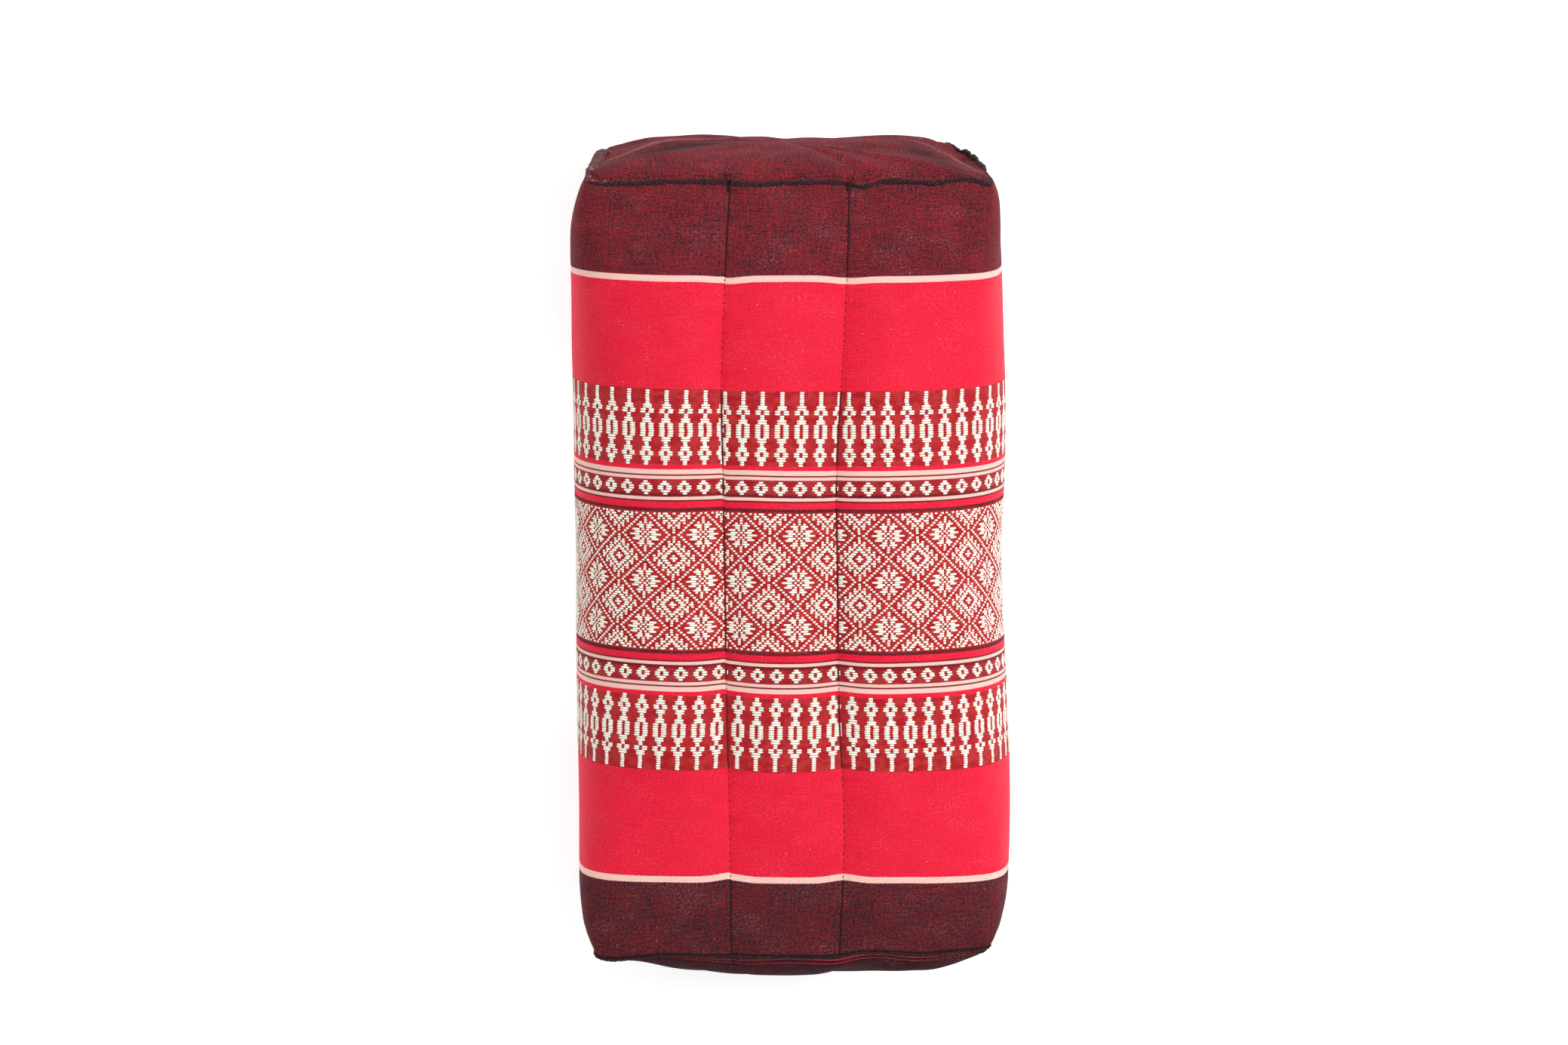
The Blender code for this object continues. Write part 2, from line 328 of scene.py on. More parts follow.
def wrap_row(along, arounds):
    """Points of the wrap at one place along, grooved at the sewn lines and flat where it rests."""
    directions = np.linspace(0, 2 * math.pi, OUTLINE_POINTS)
    x, z = outline_at(along, directions)
    run = plane_run(x, z)
    lines = table_row(SEWN_LINES, along)
    front = directions <= math.pi
    back = ~front
    on_front = np.interp((lines.right, lines.left), x[front][::-1], run[front][::-1])
    on_back = np.interp((lines.left, lines.right), x[back], run[back])
    corners = (0.0, *on_front, run[front][-1], *on_back, run[-1])
    places = np.interp(arounds, range(7), corners)
    x, z = np.interp(places, run, x), np.interp(places, run, z)
    is_back = arounds > LEFT_SIDE
    distance = np.minimum(np.abs(x - lines.left), np.abs(x - lines.right))
    deepest = np.where(is_back, GROOVE_BACK, GROOVE_FRONT)
    toward_seam = rise(abs(along), 0.0, SEAM_AT) ** GROOVE_FADE_POWER
    depth = deepest + (GROOVE_AT_SEAM - deepest) * toward_seam
    pull = depth * np.maximum(0.0, 1 - distance / GROOVE_REACH) ** GROOVE_POWER
    z = np.maximum(np.where(is_back, z + pull, z - pull), 0.0)
    lean = rise(along, TAPER_STARTS, SEAM_AT) ** TAPER_POWER
    x = x * (1 - TAPER_HEAD * lean * (1 - z / (2 * MIDDLE_HEIGHT)))
    return np.stack([x, np.full_like(x, along), z], axis=1)


def stretch_columns(length, step, close, starts_at_line, ends_at_line):
    """Shares of one stretch at which its columns lie, without its last."""
    first = np.array(close if starts_at_line else (0.0,))
    last = np.array(close if ends_at_line else (0.0,))
    count = round((length - first[-1] - last[-1]) / step)
    between = np.linspace(first[-1], length - last[-1], count + 1)
    return np.concatenate([first[:-1], between, length - last[-2::-1]])[:-1] / length


def columns_around(step_face, step_back, close):
    """Where every column lies: a whole number is the corner at which a stretch starts."""
    half = ((STRETCH_OUTER, False, True), (STRETCH_MIDDLE, True, True), (STRETCH_OUTER, True, False))
    stretches = [
        stretch_columns(length, step, close, starts, ends)
        for step in (step_face, step_back) for length, starts, ends in half
    ]
    return np.concatenate([index + shares for index, shares in enumerate(stretches)])


def rows_along(step, close):
    close = np.array(close)
    reach = SEAM_AT - close[-1]
    between = np.linspace(-reach, reach, round(2 * reach / step) + 1)
    return np.concatenate([-SEAM_AT + close[:-1], between, SEAM_AT - close[-2::-1]])


def wrap_grid(alongs, arounds):
    """Points of the whole wrap, row by row."""
    return np.stack([wrap_row(along, arounds) for along in alongs])


def grid_normals(points):
    """Outward normals of a grid that closes round itself."""
    around = np.roll(points, -1, axis=1) - np.roll(points, 1, axis=1)
    along = np.gradient(points, axis=0)
    return unit(np.cross(along, around))


def faces_of_grid(rows, columns, closed=False):
    """Quads of a grid whose points are numbered row by row, facing outward."""
    reach = columns if closed else columns - 1
    row, column = np.meshgrid(np.arange(rows - 1), np.arange(reach), indexing="ij")
    here, beside = row * columns + column, row * columns + (column + 1) % columns
    return np.stack([here, beside, beside + columns, here + columns], axis=-1).reshape(-1, 4)[:, ::-1]


def new_mesh(name, points, faces):
    """A mesh in metres from points in millimetres."""
    mesh = bpy.data.meshes.new(name)
    faces = faces.tolist() if isinstance(faces, np.ndarray) else faces
    mesh.from_pydata(((np.asarray(points) - ORIGIN) * MM).tolist(), [], faces)
    mesh.shade_smooth()
    return mesh


def add_to_scene(name, data):
    thing = bpy.data.objects.new(name, data)
    bpy.context.scene.collection.objects.link(thing)
    return thing


def add_piece(name, mesh, material):
    """A finished piece of the cushion, riding on its only body."""
    mesh.materials.append(material)
    piece = add_to_scene(name, mesh)
    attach(piece, "root")
    return piece


def set_point_values(mesh, name, kind, values):
    attribute = mesh.attributes.new(name, kind, "POINT")
    field = "vector" if kind == "FLOAT_VECTOR" else "value"
    attribute.data.foreach_set(field, np.asarray(values, np.float32).ravel())


def swell(alongs, arounds):
    """Stuffs the coarse wrap: its cloth swells under pressure, held at seams and sewn lines."""
    points = wrap_grid(alongs, arounds)
    rows, columns, _ = points.shape
    lines = (LINE_RIGHT, LINE_LEFT, BACK_LEFT, BACK_RIGHT)
    to_line = np.min([np.abs(arounds - line) for line in lines], axis=0)
    held = np.zeros((rows, columns), bool)
    held[[0, -1]] = True
    held[:, to_line < TINY] = True
    held[points[:, :, 2] < RESTS_BELOW] = True
    to_seam = SEAM_AT - np.abs(alongs)
    ease = np.minimum(rise(to_line, 0.0, EASE_AT_LINE)[None, :], rise(to_seam, 0.0, EASE_AT_SEAM)[:, None])
    slack = points - grid_normals(points) * (SLACK * ease * ~held)[:, :, None]
    mesh = new_mesh("stuffing", slack.reshape(-1, 3), faces_of_grid(rows, columns, closed=True))
    trial = add_to_scene("stuffing", mesh)
    trial.vertex_groups.new(name="held").add(np.flatnonzero(held).tolist(), 1.0, "REPLACE")
    cloth = trial.modifiers.new("cloth", "CLOTH")
    cloth.point_cache.frame_end = FRAMES
    cloth.settings.vertex_group_mass = "held"
    cloth.settings.effector_weights.gravity = 0
    cloth.collision_settings.use_collision = False
    for name, value in SIMULATION.items():
        setattr(cloth.settings, name, value)
    for frame_number in range(1, FRAMES + 1):
        bpy.context.scene.frame_set(frame_number)
    stuffed = trial.evaluated_get(bpy.context.evaluated_depsgraph_get())
    moved = np.empty(rows * columns * 3)
    stuffed.data.vertices.foreach_get("co", moved)
    bpy.context.scene.frame_set(1)
    bpy.data.objects.remove(trial)
    bpy.data.meshes.remove(mesh)
    move = moved.reshape(rows, columns, 3) / MM + ORIGIN - slack
    length = np.linalg.norm(move, axis=2, keepdims=True)
    move *= SWELL_LIMIT * np.tanh(length / SWELL_LIMIT) / np.maximum(length, TINY)
    return slack + move - points


def smoothed(values, passes, axis, closed):
    """Values evened out with their neighbours along one axis, several times over."""
    for _ in range(passes):
        before, after = np.roll(values, 1, axis), np.roll(values, -1, axis)
        if not closed:
            before, after = np.copy(before), np.copy(after)
            before[0], after[-1] = values[0], values[-1]
        values = (before + 2 * values + after) / 4
    return values


def spread(coarse, alongs, arounds, fine_alongs, fine_arounds):
    """A coarse grid of moves, read at the rows and columns of a finer one."""
    closed = np.concatenate([coarse, coarse[:, :1]], axis=1)
    places = np.append(arounds, FULL_ROUND)
    across = np.stack([columns_at(fine_arounds, places, row) for row in closed])
    flat = across.reshape(len(alongs), -1)
    index = np.clip(np.searchsorted(alongs, fine_alongs) - 1, 0, len(alongs) - 2)
    share = ((fine_alongs - alongs[index]) / (alongs[index + 1] - alongs[index]))[:, None]
    fine = (flat[index] * (1 - share) + flat[index + 1] * share).reshape(len(fine_alongs), -1, 3)
    fine = smoothed(fine, PASSES_ROUND, 1, closed=True)
    return smoothed(fine, PASSES_ALONG, 0, closed=False)


Wrap = namedtuple("Wrap", "alongs arounds points normals run x_line_left x_line_right")
FAR_FROM_LINE = 99.0
LOBES_MIDDLE, LOBES_REACH = 1.5, 1.2


def is_lobe_edge(arounds):
    """Whether columns lie on the face or the back, where the sewn lines are, and not on a side."""
    return np.abs(np.abs(arounds - LEFT_SIDE) - LOBES_MIDDLE) < LOBES_REACH


# How far the end seams wander along the cushion, seen on the face.
HEAD_SEAM_WANDER = table(
    "x shift",
    (-84, -1.4), (-80, -3.6), (-72, -4.0), (-60, -3.3), (-48, -2.8), (-30, -3.1), (-14, -3.9),
    (0, -3.2), (20, -3.3), (26, -4.4), (30, -5.1), (34, -3.9), (39, -2.7), (50, -3.0), (60, -3.6),
    (68, -3.6), (76, -6.6), (84, -2.4),
)
FOOT_SEAM_WANDER = table(
    "x shift",
    (-81, -2.6), (-77, -3.9), (-70, -4.7), (-63, -4.6), (-55, -3.9), (-44, -3.9), (-25, -4.2),
    (0, -4.5), (11, -4.6), (20, -4.5), (25, -3.3), (30, -2.5), (39, -2.2), (49, -2.9), (58, -3.0),
    (68, -1.8), (77, -0.4), (81, 0.2),
)
WANDER_REACH = 12.0
WANDER_ON_FACE = (60.0, 95.0)


def seam_wander(points, alongs):
    """Moves along the cushion that make both end seams wander."""
    x, z = points[:, :, 0], points[:, :, 2]
    on_face = rise(z, *WANDER_ON_FACE)
    elsewhere = uneven("seam_course", x, z) * (1 - on_face)
    moves = 0 * x
    for end, wander in ((1, HEAD_SEAM_WANDER), (-1, FOOT_SEAM_WANDER)):
        near = np.exp(-(SEAM_AT - end * alongs) / WANDER_REACH)[:, None]
        moves += (table_column(wander, "shift", x) * on_face + elsewhere) * near
    return moves


# The seams' corners, about this far from the middle of the end, stand out like small ears.
CORNER_X, CORNER_Z = 80.0, 55.0
EARS = table(
    "end side height outward along",
    (1, -1, 1, 1.2, 0.6), (1, 1, 1, 2.8, 0.8), (1, -1, -1, 2.6, 1.6), (1, 1, -1, 0.5, 1.6),
    (-1, -1, 1, 3.6, 1.4), (-1, 1, 1, 4.2, 0.6), (-1, -1, -1, 1.5, 1.0), (-1, 1, -1, 1.5, 1.0),
)
EAR_REACH = 9.0
EAR_LENGTH = 12.0
EAR_RISE = 0.4
EAR_FALL = 1.5

# The right side of the head end, by its height: how far its edge lies outward and along.
HEAD_RIGHT_SIDE = table(
    "height out forward",
    (0, -6.8, 0.6), (12, -6.4, 1.2), (25, -5.4, 2.0), (45, -2.2, 2.4), (65, -0.1, 2.4),
    (85, 1.6, 2.4), (100, 2.0, 2.2), (116, 1.9, 1.6),
)
SIDE = (58.0, 74.0)
# Just before the head end the cloth is fuller on both sides, above the part that rests.
SHOULDERS = table("side along reach out", (1, 150.0, 9.0, 0.8), (-1, 139.0, 24.0, 1.2))
SHOULDER_HEIGHT = (20.0, 60.0)


def side_moves(points, alongs):
    """Moves of the head end's right edge, and of the fuller cloth just before the end."""
    x = points[:, :, 0]
    height = np.clip(points[:, :, 2], 0.0, HEAD_RIGHT_SIDE[-1].height)
    at_right = rise(x, *SIDE) * np.exp(-((SEAM_AT - alongs) / EAR_LENGTH) ** EAR_FALL)[:, None]
    moves = np.zeros_like(points)
    for axis, name in enumerate(("out", "forward")):
        moves[:, :, axis] = table_column(HEAD_RIGHT_SIDE, name, height) * at_right
    for shoulder in SHOULDERS:
        near = bell(alongs - shoulder.along, shoulder.reach)[:, None]
        at_side = rise(shoulder.side * x, *SIDE) * rise(height, *SHOULDER_HEIGHT)
        moves[:, :, 0] += shoulder.side * shoulder.out * near * at_side
    return moves


def ear_moves(points, alongs):
    """Moves of the wrap's points that draw its eight corners outward."""
    moves = np.zeros_like(points)
    for ear in EARS:
        rim = points[-1 if ear.end > 0 else 0]
        reach = ear.side * rim[:, 0] / CORNER_X + ear.height * (rim[:, 2] - MIDDLE_HEIGHT) / CORNER_Z
        corner = rim[int(np.argmax(reach))]
        away = np.hypot(points[:, :, 0] - corner[0], points[:, :, 2] - corner[2]) / EAR_REACH
        back = ((SEAM_AT - ear.end * alongs) / EAR_LENGTH)[:, None]
        share = np.exp(-away ** 2 - back ** EAR_FALL)
        moves[:, :, 0] += share * ear.side * ear.outward
        moves[:, :, 1] += share * ear.end * ear.along
        moves[:, :, 2] += share * ear.height * EAR_RISE * ear.outward
    return moves


def stuffed_wrap():
    """The wrap as it finally lies, with puckers at its stitches and seams."""
    alongs = rows_along(STEP_ALONG, CLOSE_ROWS)
    arounds = columns_around(STEP_FACE, STEP_BACK, CLOSE_COLUMNS)
    points = wrap_grid(alongs, arounds)
    coarse_alongs = rows_along(COARSE_STEP, COARSE_COLUMNS)
    coarse_arounds = columns_around(COARSE_STEP, COARSE_STEP, COARSE_COLUMNS)
    move = swell(coarse_alongs, coarse_arounds)
    points = points + spread(move, coarse_alongs, coarse_arounds, alongs, arounds)
    line_left = table_column(SEWN_LINES, "left", alongs)[:, None]
    line_right = table_column(SEWN_LINES, "right", alongs)[:, None]
    along = alongs[:, None]
    x = points[:, :, 0]
    around = np.broadcast_to(arounds, x.shape)
    in_line = np.minimum(np.abs(x - line_left), np.abs(x - line_right))
    in_line = np.where(is_lobe_edge(around), in_line, FAR_FROM_LINE)
    to_seam = (SEAM_AT - np.abs(along)) + 0 * x
    cloth_u = run_along(points, axis=1)
    dive = PUCKER_EVEN + (1 - PUCKER_EVEN) * np.cos(2 * math.pi * along / STITCH)
    near_seam = np.exp(-to_seam / CREASES_BY_SEAM) * rise(to_seam, *CREASES_START)
    relief = -PUCKER_DEPTH * bell(in_line, PUCKER_WIDTH) * dive
    relief = relief + uneven("beside_lines", cloth_u, along) * np.exp(-in_line / CREASES_BY_LINE)
    relief = relief + uneven("beside_seams", cloth_u, along) * near_seam
    relief = relief + uneven("lobes", cloth_u, along)
    relief = relief * rise(points[:, :, 2], 0.0, RELIEF_ABOVE)
    points = points + grid_normals(points) * relief[:, :, None]
    points[:, :, 1] += seam_wander(points, alongs)
    points = points + ear_moves(points, alongs)
    points = points + side_moves(points, alongs)
    points[:, :, 2] = np.maximum(points[:, :, 2], 0.0)
    run = run_along(points, axis=1)
    return Wrap(alongs, arounds, points, grid_normals(points), run, line_left[:, 0], line_right[:, 0])


Strip = namedtuple("Strip", "columns u v to_line")


def cloth_rows(wrap, columns, to_line):
    """How far each point lies from the lattice's middle, counted along the cloth."""
    x = wrap.points[:, columns, 0]
    from_middle = wrap.alongs[:, None] - LATTICE_CENTRE
    v = from_middle * (1 + LINE_PULL * bell(to_line, LINE_PULL_REACH))
    line = wrap.x_line_left[:, None]
    v = v + LEFT_LINE_STEP * (rise(x, line - LEFT_LINE_WIDTH, line + LEFT_LINE_WIDTH) - 0.5)
    return v + uneven("bands", x, wrap.alongs[:, None] + wrap.points[:, columns, 2])


def cloth_strips(wrap):
    """The wrap's cloth in strips between its tucks, with the thread coordinates of every point.

    Both sewn lines of the face hide some cloth, and the cloth's two long edges meet in the right
    sewn line of the back.
    """
    count = len(wrap.arounds)
    at = {corner: int(np.argmin(np.abs(wrap.arounds - corner))) for corner in range(FULL_ROUND)}
    at[FULL_ROUND] = count
    share = (wrap.alongs - THREADS[0].along) / (THREADS[1].along - THREADS[0].along)
    middle, hidden_left, hidden_right = (
        first + share * (last - first) for first, last in zip(THREADS[0][1:], THREADS[1][1:])
    )
    lobe = slice(at[LINE_RIGHT], at[LINE_LEFT] + 1)
    zero = np.array([
        np.interp(middle[row], wrap.points[row, lobe, 0][::-1], wrap.run[row, lobe][::-1])
        for row in range(len(wrap.alongs))
    ])[:, None]
    closing = np.linalg.norm(wrap.points[:, 0] - wrap.points[:, -1], axis=1)[:, None]
    whole = wrap.run[:, -1:] + closing

    def strip(start, end, shift):
        columns = np.arange(at[start], at[end] + 1)
        run = np.concatenate([wrap.run, whole], axis=1)[:, columns]
        columns = columns % count
        x = wrap.points[:, columns, 0]
        beside = np.minimum(np.abs(x - wrap.x_line_left[:, None]), np.abs(x - wrap.x_line_right[:, None]))
        to_line = np.where(is_lobe_edge(wrap.arounds[columns]), beside, FAR_FROM_LINE)
        to_line = np.minimum(to_line, FOOT_CREASE * (SEAM_AT + wrap.alongs)[:, None])
        return Strip(columns, zero - run + shift, cloth_rows(wrap, columns, to_line), to_line)

    middle_shift = -SPIRE_PERIOD * UNIT
    left_shift = middle_shift - hidden_left[:, None]
    right_shift = middle_shift + hidden_right[:, None]
    face = (
        strip(RIGHT_SIDE, LINE_RIGHT, right_shift), strip(LINE_RIGHT, LINE_LEFT, middle_shift),
        strip(LINE_LEFT, LEFT_SIDE, left_shift),
    )
    back = (strip(LEFT_SIDE, BACK_RIGHT, left_shift), strip(BACK_RIGHT, FULL_ROUND, whole + right_shift))
    return face, back


def wrap_piece(name, wrap, strips, material):
    """One half of the wrap, made of strips that meet at their edges."""
    points, normals, cloth, faces = [], [], [], []
    start = 0
    for strip in strips:
        rows, columns = strip.u.shape
        faces.append(faces_of_grid(rows, columns) + start)
        points.append(wrap.points[:, strip.columns].reshape(-1, 3))
        normals.append(wrap.normals[:, strip.columns].reshape(-1, 3))
        cloth.append(np.stack([strip.u, strip.v, strip.to_line], axis=-1).reshape(-1, 3))
        start += rows * columns
    mesh = new_mesh(name, np.concatenate(points), np.concatenate(faces))
    set_point_values(mesh, "cloth", "FLOAT_VECTOR", np.concatenate(cloth))
    mesh.normals_split_custom_set_from_vertices(np.concatenate(normals).tolist())
    return add_piece(name, mesh, material)


# Weave charts. A float is a pair of thread counts from its motif's middle, in units of warp;
# both halves of a motif mirror each other.
NARROW = ((-2, 2),)
MEDIUM = ((-4, 4),)
WIDE = ((-6, -1), (1, 6))
SPIRE_ROWS = (
    (NARROW, 6), (MEDIUM, 2), (WIDE, 2), (NARROW, 2), (MEDIUM, 2), (WIDE, 6),
    (MEDIUM, 2), (NARROW, 2), (MEDIUM, 2), (WIDE, 2), (MEDIUM, 2), (NARROW, 2),
)
SPIRE_PERIOD = 16
SPIRE_OUTER_ROW = 79.4
DOT_ROWS = ((NARROW, 1), (MEDIUM, 1), (WIDE, 2), (MEDIUM, 1), (NARROW, 1))
DOT_OUTER_ROW = 41.9
LATTICE_ROWS = 29
LATTICE_PERIOD = 48
LATTICE_HALF = 10
FLOWER = (
    ((1, 3.4), (4.8, 13.7)),
    ((-1.5, 1.5), (2.6, 9.4)),
    ((0.7, 3.3), (4.8, 11.5)),
    ((0.9, 5.4),),
    ((0.7, 7.5),),
    ((-1.4, 1.4), (2.9, 5.5)),
    ((-1.5, 1.5),),
    ((-1.4, 1.4),),
)
RINGED = (
    ((-3.3, 3.3), (6, 11), (13, 17.4)),
    ((-1.5, 1.5), (4.8, 9.8), (11, 13.5), (14.9, 17.5)),
    ((2.6, 7.5), (8.8, 13.7)),
    ((0.8, 5.4), (7, 9.6), (11, 13.7)),
    ((-3.1, 3.1), (4.7, 9.6)),
    ((-1.4, 1.4), (2.8, 5.4), (7, 9.6)),
    ((0.8, 5.4),),
    ((-1.4, 1.4), (2.8, 5.4)),
    ((-1.4, 1.4),),
    ((-1.4, 1.4),),
)
DASH = 1.35


def mirrored(spans):
    """The spans of a motif's row with those that lie beside its middle on both sides."""
    return list(spans) + [(-end, -start) for start, end in spans if start > 0]


def striped_chart(groups, outer_row, period):
    """Rows of equal motifs side by side, from the outer row inward, on both sides of the middle."""
    chart = []
    rows = [spans for spans, count in groups for _ in range(count)]
    for row, spans in enumerate(rows):
        distance = outer_row - (row + 0.5) * PITCH
        chart += [(side * distance, spans, period, 0.0) for side in (-1, 1)]
    return chart


def lattice_chart():
    """The lattice band: flowers and ringed diamonds, parted by lines of short dashes."""
    chart = []
    for row in range(-LATTICE_ROWS, LATTICE_ROWS + 1):
        from_flower = abs((row + LATTICE_HALF) % (2 * LATTICE_HALF) - LATTICE_HALF)
        from_ringed = LATTICE_HALF - from_flower
        line = 2.0 * from_ringed
        spans = [(line - DASH, line + DASH), (-line - DASH, -line + DASH)][: 2 if line else 1]
        if from_flower < len(FLOWER):
            spans += mirrored(FLOWER[from_flower])
        chart.append((row * PITCH, spans, LATTICE_PERIOD, 0.0))
        if from_ringed < len(RINGED):
            chart.append((row * PITCH, mirrored(RINGED[from_ringed]), LATTICE_PERIOD, LATTICE_PERIOD / 2))
    return chart


def line_at_v(wrap, strip, v):
    """Points, normals and thread places along one row of weft."""
    below = np.clip((strip.v < v).sum(axis=0) - 1, 0, len(wrap.alongs) - 2)
    here = np.arange(len(strip.columns))
    low, high = strip.v[below, here], strip.v[below + 1, here]
    share = ((v - low) / (high - low))[:, None]
    columns = strip.columns
    mix = [
        values[below, columns] * (1 - share) + values[below + 1, columns] * share
        for values in (wrap.points, wrap.normals)
    ]
    u = strip.u[below, here] * (1 - share[:, 0]) + strip.u[below + 1, here] * share[:, 0]
    return mix[0], mix[1], u


# A float is a plump lozenge: rings of five points between two tips.
FLOAT_WIDTH = 0.51
FLOAT_HEIGHT = 0.27
FLOAT_GAP = 0.04
GAP_AT_EDGE = 0.15
GAP_AT_LINE = 0.36
IN_LINE = 1.0
SHORTEST_FLOAT = 0.45
RING_SPACING = 1.1
PLUMPNESS = (0.9, 1.06)
STRAY = 0.03
TIP_LIFT = 0.02
RING_ANGLES = np.radians((-25, 35, 90, 145, 205))
RING_PLACES = {2: (0.19, 0.81), 3: (0.11, 0.5, 0.89), 4: (0.07, 0.35, 0.65, 0.93)}
RING_SIZES = {2: (0.90, 0.90), 3: (0.84, 1.0, 0.84), 4: (0.80, 1.0, 1.0, 0.80)}


def float_faces(rings):
    """Faces of one float: a fan at each tip and quads between its rings."""
    sides = len(RING_ANGLES)
    tip_first, tip_last = 0, 1 + rings * sides
    first, last = 1, 1 + (rings - 1) * sides
    turn = [(i, (i + 1) % sides) for i in range(sides)]
    fans = [(tip_first, first + j, first + i) for i, j in turn]
    fans += [(tip_last, last + i, last + j) for i, j in turn]
    quads = [
        (1 + ring * sides + i, 1 + ring * sides + j, 1 + (ring + 1) * sides + j, 1 + (ring + 1) * sides + i)
        for ring in range(rings - 1) for i, j in turn
    ]
    return fans, quads


def floats_on_line(line, starts, ends, seed):
    """Points and faces of all the floats that lie on one row of weft."""
    points, normals, u = line
    order = np.argsort(u)
    u, points, normals = u[order], points[order], normals[order]
    random = np.random.default_rng(seed)
    built = []
    for rings in RING_PLACES:
        length = ends - starts
        chosen = np.clip(np.round(length / RING_SPACING) + 1, min(RING_PLACES), max(RING_PLACES)) == rings
        if not chosen.any():
            continue
        start, end = starts[chosen][:, None], ends[chosen][:, None]
        shares = np.array((0.0, *RING_PLACES[rings], 1.0))
        places = start + (end - start) * shares
        centre = columns_at(places, u, points)
        normal = unit(columns_at(places, u, normals))
        side = np.cross(normal, unit(centre[:, -1:] - centre[:, :1]))
        count = len(start)
        plump = random.uniform(*PLUMPNESS, (count, 1, 1, 1))
        centre = centre + side * random.normal(0, STRAY, (count, 1, 1))
        size = np.array(RING_SIZES[rings])[None, :, None, None] * plump
        ring = centre[:, 1:-1, None] + size * (
            side[:, 1:-1, None] * FLOAT_WIDTH * np.cos(RING_ANGLES)[:, None]
            + normal[:, 1:-1, None] * FLOAT_HEIGHT * np.sin(RING_ANGLES)[:, None]
        )
        tips = centre + normal * TIP_LIFT
        each = np.concatenate([tips[:, :1], ring.reshape(count, -1, 3), tips[:, -1:]], axis=1)
        built.append((rings, each, random.uniform(0, 1, count)))
    return built


def float_spans(spans, period, offset, lowest, highest):
    """Starts and ends of a motif row's floats, repeated over a strip and cut off at its edges."""
    first, last = math.floor(lowest / (period * UNIT)) - 1, math.ceil(highest / (period * UNIT)) + 2
    middles = np.arange(first, last) * period + offset
    starts = np.concatenate([(middles + start) * UNIT + FLOAT_GAP / 2 for start, _ in spans])
    ends = np.concatenate([(middles + end) * UNIT - FLOAT_GAP / 2 for _, end in spans])
    starts, ends = np.maximum(starts, lowest), np.minimum(ends, highest)
    kept = ends - starts > SHORTEST_FLOAT
    return starts[kept], ends[kept]


def floats_piece(name, wrap, strips, chart, material):
    """All the cream floats of one chart on one half of the wrap, as one piece."""
    points, shades, triangles, quads = [], [], [], []
    total = 0
    for number, (v, spans, period, offset) in enumerate(chart):
        for strip in strips:
            line = line_at_v(wrap, strip, v)
            at_line = strip.to_line[len(wrap.alongs) // 2, [-1, 0]] < IN_LINE
            left, right = np.where(at_line, GAP_AT_LINE, GAP_AT_EDGE)
            lowest, highest = line[2].min() + left, line[2].max() - right
            starts, ends = float_spans(spans, period, offset, lowest, highest)
            if not len(starts):
                continue
            for rings, each, shade in floats_on_line(line, starts, ends, number):
                fans, sides = float_faces(rings)
                count, size, _ = each.shape
                base = total + np.arange(count)[:, None, None] * size
                triangles.append((np.array(fans)[None] + base).reshape(-1, 3))
                quads.append((np.array(sides)[None] + base).reshape(-1, 4))
                points.append(each.reshape(-1, 3))
                shades.append(np.repeat(shade, size))
                total += count * size
    faces = np.concatenate(triangles).tolist() + np.concatenate(quads).tolist()
    mesh = new_mesh(name, np.concatenate(points), faces)
    set_point_values(mesh, "shade", "FLOAT", np.concatenate(shades))
    return add_piece(name, mesh, material)


# Rings of an end panel, by their distance from the seam along the cloth. They lie close together
# beside the seam, where the turned edge makes folds. Each fold is as wide as told, and stands out
# or is sunk by its height; its painted light is how strongly a highlight is painted on it, or shade where
# that is below nothing.
EDGE_STEP = 0.4
EDGE_REACH = 12.0
INNER_STEP = 1.2
Fold = namedtuple("Fold", "height place width wear")
EDGE_FOLDS = {
    1: (Fold(0.4, 1.2, 0.8, 0.0), Fold(-0.3, 3.0, 0.7, -0.15)),
    -1: (
        Fold(1.0, 1.5, 0.7, 0.75), Fold(-0.8, 2.9, 0.5, -1.4), Fold(0.8, 4.1, 0.75, 0.6),
        Fold(-0.35, 5.8, 0.7, -0.7),
    ),
}
FOLD_EVEN = 0.7
FOOT_FOLDS_HEIGHT = (40.0, 80.0)
FOOT_FOLDS_ACROSS = (84.0, 62.0)
UNEVEN_FROM_SEAM = (2.0, 14.0)
EDGE_FADE = 16.0

# An end panel's profile is worked out at this many places, up to just before its middle. Its edge
# rises steeply out of the seam, and its very middle lies a touch further out.
PROFILE_POINTS = 600
PROFILE_END = 0.8
EDGE_RISE_STARTS = 0.2
EDGE_RISE_WIDTH = 1.2
TIP_OUT = 0.01

# A ridge crosses the head panel in an arch, and is lost toward its middle.
RIDGE = table(
    "x height share",
    (-80, 84, 0.4), (-71, 75, 0.9), (-63, 67, 1.0), (-46, 57, 1.0), (-28, 49, 0.4), (-8, 45, 0.0),
    (34, 44, 0.0), (48, 47, 0.3), (60, 55, 0.8), (68, 72, 0.9), (79, 100, 0.6),
)
# Places where an end panel's filling has sunk.
DENTS = table(
    "end x z depth reach_x reach_z",
    (1, 76.0, 40.0, 6.2, 15.0, 48.0),
    (1, 46.0, 45.0, 1.4, 34.0, 60.0),
    (1, -76.0, 40.0, 2.8, 15.0, 42.0),
    (-1, -66.0, 95.0, 6.4, 17.0, 40.0),
    (-1, -44.0, 95.0, 2.4, 18.0, 35.0),
    (-1, 0.0, 95.0, 2.4, 95.0, 35.0),
    (-1, 42.0, 95.0, 1.2, 18.0, 35.0),
    (-1, 76.0, 95.0, 2.2, 15.0, 40.0),
)
DENT_STARTS = 6.0
RIDGE_LIFT = 1.1
RIDGE_WIDTH = 1.4
VALLEY_AT = 13.0
VALLEY_WIDTH = 8.0
VALLEY_DEPTH = 0.9
RIDGE_STARTS = 4.0
RIDGE_POINTS = 161
